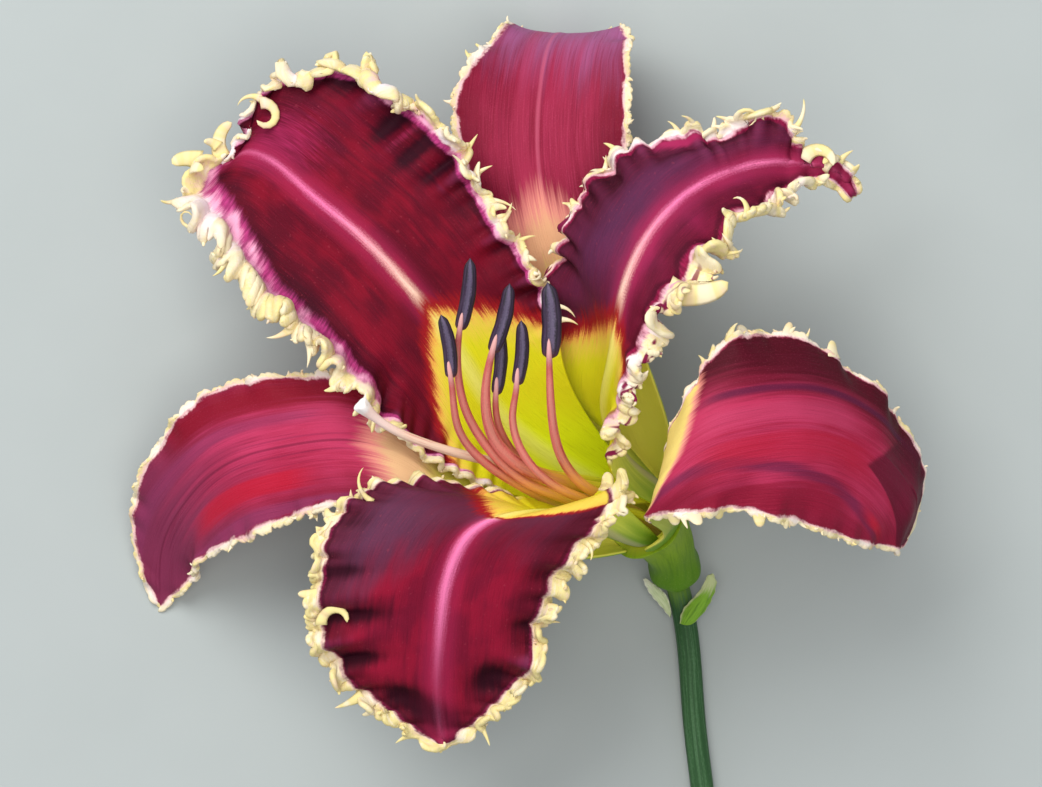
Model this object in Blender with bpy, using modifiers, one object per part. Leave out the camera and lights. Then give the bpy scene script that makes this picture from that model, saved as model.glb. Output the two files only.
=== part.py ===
"""A daylily bloom, picked with a short length of its stalk and laid on its back.

Three broad ruffled petals and, outside them, three narrower sepals stand on the rim of a short green tube.
Six stamens and the pistil rise out of the tube. The bloom rests on its stalk and on the tips of two sepals.

Sizes are in millimetres: x to the right and y to the top of the bloom as someone above it sees it, z up.
"""

import math
import random

import bmesh
import bpy
import numpy as np
from mathutils import Vector

FOOT = Vector((28.2, -33.4, 5))
MOUTH = Vector((22.5, -22.5, 24))
AXIS = Vector((-0.45, 0.42, 0.79)).normalized()
PETAL_RING = 5.6
SEPAL_RING = 7.2
SEAT_GAP = 0.3
BLADE_THICKNESS = 0.7
FILAMENT_RADIUS = 0.65
ANTHER_RADIUS = 1.45
STALK_RADIUS = 2.1
BASE_MIDDLE = Vector((0.6, -14.3, 0))

ROUND_TOP = (Vector((0, 1, 0)) - AXIS.y * AXIS).normalized()
ROUND_RIGHT = ROUND_TOP.cross(AXIS)

# A tepal's rows run from the throat to the tip. Each holds a point of its left edge, of its midrib and of its
# right edge, as the tube sees them, and how far the two halves bulge up between those.
TEPALS = {
    "petal_upper_left": {
        "round": 155,
        "flare": 25,
        "colour": (0.22, 0.005, 0.025),
        "rows": (
            (-8.5, -16, 41, -4, -3.5, 35.5, 7.5, 5.5, 39, 0, 0),
            (-21, -9, 46, -13, 10, 39, 4, 21, 43, -1, 0),
            (-32, 0, 49, -20.5, 19.5, 40, -4, 33, 43, -2, 1),
            (-42, 8, 48, -29, 28.5, 39.5, -11, 43, 43, -3, 1),
            (-51, 18, 45, -38.5, 36.5, 37, -19, 53, 41, -3, 1),
            (-56.5, 27, 41, -46, 42.5, 33.5, -30.5, 58.5, 38, -2, 1),
            (-62, 33, 36, -53, 44, 30, -44, 57, 33.5, -1, 0),
            (-63, 38.5, 31, -59.5, 41, 28, -56, 44, 29, 0, 0),
        ),
    },
    "petal_upper_right": {
        "round": 35,
        "flare": 10,
        "colour": (0.22, 0.005, 0.025),
        "rows": (
            (19.5, -10, 27.5, 21.3, -14, 34, 20, -17.8, 39.5, 0, 0),
            (5.5, 3, 29.5, 15, -3.6, 44, 15.8, -11.5, 52, -2, 0),
            (4, 18, 36.5, 16.3, 7, 54, 17.5, 0, 60.5, -2, 0),
            (7, 29, 43, 18.3, 18, 57, 26, 13, 64, 1, 0),
            (13, 40.5, 46, 23, 28.5, 56, 33, 20, 61, 1, 0),
            (25, 45, 46.5, 31, 36.5, 53, 41, 26.5, 57, 1, 0),
            (37.5, 48.3, 46.5, 39.5, 40.3, 49.5, 47.5, 31, 53, 0, 0),
            (47, 47.5, 45, 48, 41.5, 46.5, 51, 35, 48, 0, 0),
            (58.5, 42, 42, 59, 39, 41, 57.5, 37.5, 41, 0, 0),
        ),
    },
    "petal_lower": {
        "round": 275,
        "flare": 15,
        "colour": (0.22, 0.005, 0.025),
        "rows": (
            (18, -15.5, 53, 6.4, -21.3, 52.8, -2.6, -17.9, 46.3, 0, 0),
            (20.5, -17.5, 57, -2, -21.8, 57.5, -24, -15.5, 49, 1, 2),
            (15, -25, 55, -8, -24, 58, -34, -21, 48, 1, 3),
            (9.5, -32.5, 52, -12.5, -31, 55.5, -38, -32, 46, 1, 2),
            (5, -42, 48, -14.3, -40.5, 50.5, -38.5, -43, 43, 1, 1),
            (3, -51.5, 43, -15, -50, 45, -33.5, -52.5, 39, 0, 0),
            (-4.5, -58.5, 39, -14.8, -57.5, 40, -25, -58.5, 37, 0, 0),
            (-10, -62, 37, -14, -63, 37, -18, -62, 36.5, 0, 0),
        ),
    },
    "sepal_top": {
        "round": 95,
        "flare": 38,
        "colour": (0.3, 0.012, 0.04),
        "rows": (
            (1.6, 5.5, 24.5, 12.5, 9.1, 27, 22.5, 6, 33.5, 0, 0),
            (-3, 20, 29, 8, 21, 31.5, 18.5, 20, 33, 0, 0),
            (-8, 33, 30, 4.5, 33, 32, 18.5, 33, 33, 0, 0),
            (-12, 46, 30, 3, 44, 31, 19.8, 46, 33, 0, 0),
            (-11.5, 57, 28, 3.5, 55, 28, 20, 57, 31, 0, 0),
            (-5, 65, 20, 5.5, 63.7, 20, 20.3, 65, 25, 0, 0),
            (-1, 66.5, 10, 8, 65, 9, 17, 65.5, 11, 0, 0),
            (6, 63, 0.3, 9, 62, 0.3, 12, 63, 0.3, 0, 0),
        ),
    },
    "sepal_left": {
        "round": 215,
        "flare": 30,
        "colour": (0.3, 0.012, 0.04),
        "rows": (
            (-1.6, -28, 49.9, -9.2, -21.2, 42.2, -10.1, -10.5, 35.2, 0, 0),
            (-17, -24, 46, -20, -12, 41, -25, -1, 33, 0, 0),
            (-29, -21, 41, -31, -8.5, 37.5, -34, 4, 30, 0, 0),
            (-40, -23, 34, -42, -9.5, 32.5, -46, 3.5, 26, 0, 0),
            (-50, -27, 26, -52.5, -12.5, 26, -58, 0, 21, 0, 0),
            (-58, -31.3, 15, -61, -20, 16, -68, -11.5, 14, 0, 0),
            (-60, -35, 6, -65.5, -29, 6, -71.3, -24.5, 6, 0, 0),
            (-63.5, -37.5, 0.4, -66, -38.5, 0.3, -68, -37, 0.4, 0, 0),
        ),
    },
    "sepal_right": {
        "round": 335,
        "flare": 27,
        "colour": (0.3, 0.012, 0.04),
        "rows": (
            (29.5, -17.5, 38, 27.5, -22.3, 41.5, 25.5, -26, 40.5, 0, 0),
            (26.5, -9, 52, 24, -17.7, 56.5, 22.5, -22.5, 55, 0, 0),
            (30.5, 2, 56, 31.5, -9, 61, 30, -22.5, 58, 0, 0),
            (35, 9, 56, 40, -6, 60, 38, -21.5, 57, 0, 0),
            (45, 11.5, 51, 49.5, -5, 56, 48, -23.5, 52, 0, 0),
            (56.5, 6.3, 45, 58.5, -7, 49, 56, -26, 46, 0, 0),
            (66, -1.5, 38, 66, -12, 42, 62, -28, 40, 0, 0),
            (72, -12, 31, 70.5, -19, 34, 66, -28.5, 35, 0, 0),
            (72, -21, 27, 69.5, -26, 28, 67.5, -29, 30, 0, 0),
        ),
    },
}

# Each stamen: where it leaves the tube's wall, the way of its filament, and its anther's two ends
STAMENS = (
    (275, ((14.5, -22, 38), (7.2, -18.6, 45), (0, -15.3, 50), (-6, -9.5, 54.5), (-9.8, -3, 58.5), (-11.2, 4, 62)),
     (-10.9, 11, 66), (-9, 24, 70)),
    (215, ((12.5, -22.5, 33.5), (5.5, -19.5, 41), (-1, -16, 47.5), (-6.8, -12, 54), (-10.8, -7, 59)),
     (-12.4, 2.5, 66), (-14.2, 14, 69)),
    (95, ((18, -17.5, 33), (9.5, -16.3, 43), (1.5, -13.8, 51.5), (-4.5, -8.5, 57), (-6.3, -1, 62)),
     (-5.2, 7, 67), (-2, 19.5, 70)),
    (155, ((15.5, -16.5, 31), (8, -15, 39.5), (1, -12.8, 46.5), (-3, -8, 53)), (-4.5, -0.5, 60), (-3.8, 12, 61)),
    (335, ((18.3, -20.9, 39), (10, -18.4, 49), (4, -15, 55.3), (0, -10, 59), (-1.5, -4, 62)),
     (-0.8, 1.3, 65), (0, 13, 68)),
    (35, ((20.5, -19, 37), (12.5, -17.3, 48), (7.3, -11.5, 56), (5.6, -5, 62)), (5, 6, 68), (4.7, 19.7, 70)),
)
OVARY_WAY = ((28, -31.5, 8), (27.7, -30, 10.8), (26.4, -27.1, 15.4), (23.3, -23.2, 22.6))
STYLE_WAY = ((15, -18.8, 31), (6, -15.5, 37.5), (-2, -13, 43.5), (-10, -11, 49.5), (-18, -8.5, 54), (-25, -5, 57.5))
STIGMA = (-28.5, -2, 59.5)
STALK_WAY = (
    (28.35, -34.2, 3.75), (28.7, -35.5, 2.75), (29.2, -37.5, 2.15), (29.9, -41, 1.96),
    (30.6, -46, 1.95), (31.7, -60, 1.95), (33, -71, 1.95), (35.5, -96, 1.95),
)
BRACTS = {
    "bract_green": (
        (29, -42, 4.6, 30.2, -42.2, 4.8, 31.4, -42, 4.6),
        (29.4, -40, 4.8, 31.6, -40.6, 5.6, 33.4, -39.8, 4.6),
        (31, -37.8, 5.6, 33.4, -37.8, 6.4, 35, -37, 5.4),
        (32.8, -35.6, 6.8, 34.6, -35.2, 7.2, 35.6, -34.4, 6.6),
        (34, -33.2, 8, 34.6, -33, 8, 35, -32.8, 8),
    ),
    "bract_pale": (
        (27.3, -41, 3.1, 27.4, -40.5, 3.3, 27.5, -40, 3.4),
        (25.5, -38.8, 3, 26.2, -38.2, 3.4, 26.8, -37.3, 3.5),
        (23.4, -36.3, 3.4, 24.3, -35.8, 3.8, 25, -35.4, 3.8),
        (22.3, -34, 4.2, 22.7, -33.8, 4.3, 23.1, -33.9, 4.3),
    ),
}


def outward(degrees):
    """The direction away from the axis at this angle round the tube, from its right side towards its top."""
    turn = math.radians(degrees)
    return math.cos(turn) * ROUND_RIGHT + math.sin(turn) * ROUND_TOP


def spacing(points):
    """How far along the way through these points each of them lies, from 0 to 1."""
    steps = np.linalg.norm(np.diff(np.asarray(points, float), axis=0), axis=1)
    return np.concatenate([[0], np.cumsum(steps)]) / steps.sum()


def spline(values, knots, places):
    """What the natural cubic spline that takes these values at the knots gives at places between them."""
    values = np.asarray(values, float)
    count = len(values)
    gaps = np.diff(knots)[:, None]
    slopes = np.diff(values, axis=0) / gaps
    matrix = np.eye(count)
    right = np.zeros_like(values)
    for row in range(1, count - 1):
        before, after = gaps[row - 1, 0], gaps[row, 0]
        matrix[row, row - 1 : row + 2] = before, 2 * (before + after), after
        right[row] = 6 * (slopes[row] - slopes[row - 1])
    bends = np.linalg.solve(matrix, right)
    first = np.clip(np.searchsorted(knots, places, side="right") - 1, 0, count - 2)
    step = gaps[first]
    b = (np.asarray(places) - knots[first])[:, None] / step
    a = 1 - b
    smooth = a * values[first] + b * values[first + 1]
    return smooth + ((a**3 - a) * bends[first] + (b**3 - b) * bends[first + 1]) * step**2 / 6


def unit(vectors):
    return vectors / np.linalg.norm(vectors, axis=-1, keepdims=True)


def smooth_step(values):
    values = np.clip(values, 0, 1)
    return values * values * (3 - 2 * values)


def seat_row(tepal, ring, along):
    """A row on the cone on which a tepal leaves the tube, this far above the rim."""
    flare = math.radians(tepal["flare"])
    middle = MOUTH + AXIS * (SEAT_GAP + along * math.cos(flare))
    radius = ring + along * math.sin(flare)
    half = 37 + 0.6 * along
    points = [middle + radius * outward(tepal["round"] + turn) for turn in (half, 0, -half)]
    return [value for point in points for value in point] + [0, 0]


def blade_points(rows, ribs, across):
    """The smooth surface through a blade's rows: [rib][place across, -1 at the left edge and 1 at the right]."""
    rows = np.array(rows, float)
    rows = spline(rows, spacing(rows[:, 3:6]), np.linspace(0, 1, ribs + 1))
    left, middle, right = rows[:, None, 0:3], rows[:, None, 3:6], rows[:, None, 6:9]
    place = across[None, :, None]
    points = middle + (right - left) / 2 * place + ((right + left) / 2 - middle) * place**2
    if rows.shape[1] == 9:
        return points
    bulge = np.where(across[None] < 0, rows[:, 9:10], rows[:, 10:11])
    between = 16 * across**2 * (1 - np.abs(across)) ** 2
    return points + (bulge * between[None])[..., None] * upward(points)


def upward(points):
    """The unit normals of a grid of points, on the side of a blade that faces the bloom's axis."""
    return unit(np.cross(np.gradient(points, axis=1), np.gradient(points, axis=0)))


def wave(seed, distance, lengths, heights):
    """A ruffle: sines of these lengths and heights, started by chance, at these distances along a margin."""
    draw = random.Random(seed)
    total = np.zeros_like(distance)
    for length, height in zip(lengths, heights):
        total += height * np.sin(math.tau * distance / length + draw.uniform(0, math.tau))
    return total


def mesh_object(name, points, faces, colour):
    mesh = bpy.data.meshes.new(name)
    mesh.from_pydata([tuple(p) for p in (np.asarray(points) - np.array(BASE_MIDDLE)) / 1000], [], faces)
    mesh.polygons.foreach_set("use_smooth", [True] * len(mesh.polygons))
    made = bpy.data.objects.new(name, mesh)
    finish(made, colour)
    return made


def finish(made, colour):
    """Puts the object into the bloom's collection, with a material of its own."""
    material = bpy.data.materials.new(made.name)
    material.use_nodes = True
    shader = material.node_tree.nodes["Principled BSDF"]
    shader.inputs["Base Color"].default_value = (*colour, 1)
    shader.inputs["Roughness"].default_value = 0.45
    made.data.materials.append(material)
    bloom.objects.link(made)


def blade(name, points, thickness, colour):
    """A leaf-thin solid on a grid of middle points, split into triangles before it is thickened."""
    ribs, steps = points.shape[:2]
    faces = []
    for i in range(ribs - 1):
        for j in range(steps - 1):
            a, b, c, d = i * steps + j, i * steps + j + 1, (i + 1) * steps + j + 1, (i + 1) * steps + j
            faces += [(a, b, c), (a, c, d)] if (j < steps // 2) else [(a, b, d), (b, c, d)]
    made = mesh_object(name, points.reshape(-1, 3), faces, colour)
    shell = made.modifiers.new("Thickness", "SOLIDIFY")
    shell.thickness = thickness / 1000
    shell.offset = 0
    return made


def rod(name, way, radii, fineness):
    """A round body along a way, as a curve object, with a radius for each point of the way."""
    curve = bpy.data.curves.new(name, "CURVE")
    curve.dimensions = "3D"
    curve.bevel_depth = 0.001
    curve.bevel_resolution = fineness
    curve.use_fill_caps = True
    line = curve.splines.new("POLY")
    line.points.add(len(way) - 1)
    for point, place, radius in zip(line.points, way, radii):
        point.co = (*((Vector(place) - BASE_MIDDLE) / 1000), 1)
        point.radius = radius
    line.use_smooth = True
    return bpy.data.objects.new(name, curve)


def rod_mesh(name, way, radii):
    """A closed mesh of a round body that a Boolean can cut, smoothed along the way's points."""
    knots = spacing(way)
    places = np.unique(np.concatenate([np.linspace(0, 1, 16), knots]))
    guide = rod(f"{name}_way", spline(way, knots, places), np.interp(places, knots, radii), 4)
    mesh = bpy.data.meshes.new_from_object(guide)
    bpy.data.objects.remove(guide)
    welded = bmesh.new()
    welded.from_mesh(mesh)
    bmesh.ops.remove_doubles(welded, verts=welded.verts, dist=1e-6)
    welded.to_mesh(mesh)
    welded.free()
    return bpy.data.objects.new(name, mesh)


def cut(body, name, cutter):
    """Takes the cutter's shape out of the body."""
    cutters.objects.link(cutter)
    cutter.display_type = "WIRE"
    cutter.hide_render = True
    modifier = body.modifiers.new(name, "BOOLEAN")
    modifier.object = cutter
    modifier.operation = "DIFFERENCE"
    modifier.solver = "EXACT"


for leftover in list(bpy.data.objects):
    bpy.data.objects.remove(leftover)
bloom = bpy.data.collections.new("daylily_bloom")
bpy.context.scene.collection.children.link(bloom)
cutters = bpy.data.collections.new("cutters")
bpy.context.scene.collection.children.link(cutters)
cutters.hide_render = True

# The six tepals. A margin's ruffle swings the blade up and down, and its teeth lengthen the blade outwards.
for name, tepal in TEPALS.items():
    is_petal = name.startswith("petal")
    ring = PETAL_RING if is_petal else SEPAL_RING
    ribs = 58 if is_petal else 34
    half = np.array([0.3, 0.55, 0.76, 0.9, 1]) if is_petal else np.array([0.35, 0.65, 0.88, 1])
    across = np.concatenate([-half[::-1], [0], half])
    points = blade_points([seat_row(tepal, ring, 0), seat_row(tepal, ring, 4), *tepal["rows"]], ribs, across)
    normals = upward(points)
    along = np.linspace(0, 1, ribs + 1)
    free = smooth_step((along - 0.3) / 0.2) * smooth_step((1 - along) / 0.08)
    for hand in (-1, 1):
        edge = points[:, 0 if hand < 0 else -1]
        travel = np.concatenate([[0], np.cumsum(np.linalg.norm(np.diff(edge, axis=0), axis=1))])
        near = smooth_step((hand * across - 0.35) / 0.65) ** 1.5
        outline = smooth_step((hand * across - 0.8) / 0.2)
        seed = f"{name} {hand}"
        if is_petal:
            swing = wave(seed, travel, (10.5, 7.3), (1.5, 0.9))
            teeth = 0.9 + wave(seed + " teeth", travel, (4.1, 5.3), (0.6, 0.5))
        else:
            swing = wave(seed, travel, (17, 11), (0.6, 0.35))
            teeth = 0.4 + wave(seed + " teeth", travel, (6.1, 7.9), (0.2, 0.2))
        sideways = unit(edge - points[:, len(across) // 2])
        points = points + (free * swing)[:, None, None] * near[None, :, None] * normals
        points = points + (free * teeth)[:, None, None] * outline[None, :, None] * sideways[:, None]
    points[..., 2] = np.maximum(points[..., 2], BLADE_THICKNESS / 2)
    blade(name, points, BLADE_THICKNESS, tepal["colour"])

# The tube: a curved cup that widens to a rim for the tepals, with a well for the ovary
tube = rod_mesh(
    "perianth_tube",
    (FOOT, (28.15, -32.8, 6), (27.7, -30.2, 10.4), (26.4, -27.1, 15.4), (24.3, -24.2, 20.6), MOUTH - 0.6 * AXIS, MOUTH),
    (2.4, 3.8, 4.5, 5, 6.2, 7.7, 8),
)
well = rod_mesh(
    "well",
    ((28, -31.8, 7.6), (27.7, -30.2, 10.4), (26.4, -27.1, 15.4), (24.3, -24.2, 20.6), MOUTH - AXIS, MOUTH + 2 * AXIS),
    (2.6, 3.2, 3.3, 3.8, 4.6, 5.2),
)
cut(tube, "Well", well)
finish(tube, (0.12, 0.2, 0.02))

# The stamens: each filament runs up the tube's wall and out over the throat to the end of its anther
for number, (degrees, way, near_end, far_end) in enumerate(STAMENS, 1):
    wall = outward(degrees)
    start = [MOUTH - 2.6 * AXIS + 3 * wall, MOUTH + 0.5 * AXIS + 3.7 * wall]
    near_end, far_end = Vector(near_end), Vector(far_end)
    anther_way = (far_end - near_end).normalized()
    way = [*start, *way, near_end - SEAT_GAP * anther_way]
    radii = FILAMENT_RADIUS * np.concatenate([np.linspace(1.15, 1, 13), [0.85, 0.6]])
    filament = rod(f"filament_{number}", spline(way, spacing(way), np.linspace(0, 1, 15)), radii, 2)
    finish(filament, (0.55, 0.13, 0.06))
    bend = 0.6 * anther_way.cross(Vector((0, 0, 1))).normalized()
    swell = ((0, 0.45), (0.07, 0.8), (0.25, 1), (0.5, 1.05), (0.75, 0.95), (0.92, 0.65), (1, 0.25))
    places = [near_end.lerp(far_end, t) + bend * math.sin(math.pi * t) for t, _ in swell]
    anther = rod(f"anther_{number}", places, [ANTHER_RADIUS * r for _, r in swell], 2)
    finish(anther, (0.02, 0.008, 0.02))

# The pistil: the ovary in the well of the tube, the long style and the stigma
way = [*OVARY_WAY, *STYLE_WAY, STIGMA]
radii = [1.4, 2.3, 2.5, 2.5, 2.1, 1.4, 0.9, *[0.72] * 25, 0.9, 1.05]
finish(rod("pistil", spline(way, spacing(way), np.linspace(0, 1, 34)), radii, 2), (0.75, 0.4, 0.25))

# The stalk, with a flat where it lies
way = [FOOT - SEAT_GAP * AXIS, *STALK_WAY]
stalk = rod_mesh("stalk", way, [STALK_RADIUS] * len(way))
bpy.ops.mesh.primitive_cube_add(size=0.2, location=(0, 0, -0.1))
ground = bpy.context.object
ground.name = "ground"
for holder in list(ground.users_collection):
    holder.objects.unlink(ground)
cut(stalk, "Flat", ground)
finish(stalk, (0.03, 0.1, 0.03))

# The two small bracts at the stalk's top
for name, rows in BRACTS.items():
    points = blade_points(rows, 8, np.linspace(-1, 1, 7))
    blade(name, points, 0.6, (0.16, 0.3, 0.05) if name == "bract_green" else (0.6, 0.65, 0.45))
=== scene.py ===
import math
import random

import bpy
import numpy as np
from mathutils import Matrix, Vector


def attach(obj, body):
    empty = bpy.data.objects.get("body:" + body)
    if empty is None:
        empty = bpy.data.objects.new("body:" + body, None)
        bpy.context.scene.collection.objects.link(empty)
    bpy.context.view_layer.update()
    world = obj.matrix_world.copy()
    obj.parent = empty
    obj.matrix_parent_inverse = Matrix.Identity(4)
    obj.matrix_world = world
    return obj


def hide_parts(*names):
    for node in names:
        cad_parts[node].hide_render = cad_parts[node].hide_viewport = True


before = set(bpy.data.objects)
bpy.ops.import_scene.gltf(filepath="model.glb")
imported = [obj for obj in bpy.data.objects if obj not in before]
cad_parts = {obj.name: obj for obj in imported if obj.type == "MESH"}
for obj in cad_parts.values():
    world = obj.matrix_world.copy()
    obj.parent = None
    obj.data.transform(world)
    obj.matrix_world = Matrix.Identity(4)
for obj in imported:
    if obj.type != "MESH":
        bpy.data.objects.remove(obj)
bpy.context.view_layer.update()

# The three petals are the broad inner tepals: soft fleshy blades with a raised midrib and a ruffled margin
# that thickens into pale lobes and hooked teeth. They grew on the rim of the tube, each on its own seat.
# Sizes are in millimetres, seen from above: x to the right, y to the top of the bloom, z up from the floor.
BASE_MIDDLE = np.array((0.6, -14.3, 0))
TUBE_MOUTH = np.array((22.5, -22.5, 24))
TUBE_AXIS = np.array((-0.45, 0.42, 0.79)) / np.linalg.norm((-0.45, 0.42, 0.79))
ROUND_TOP = np.array((0, 1, 0)) - TUBE_AXIS[1] * TUBE_AXIS
ROUND_TOP /= np.linalg.norm(ROUND_TOP)
ROUND_RIGHT = np.cross(ROUND_TOP, TUBE_AXIS)
SEAT_GAP = 0.3
SEAT_HALF_TURN = 37
SEAT_RISE = 4
PETAL_RING = 5.6

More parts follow.
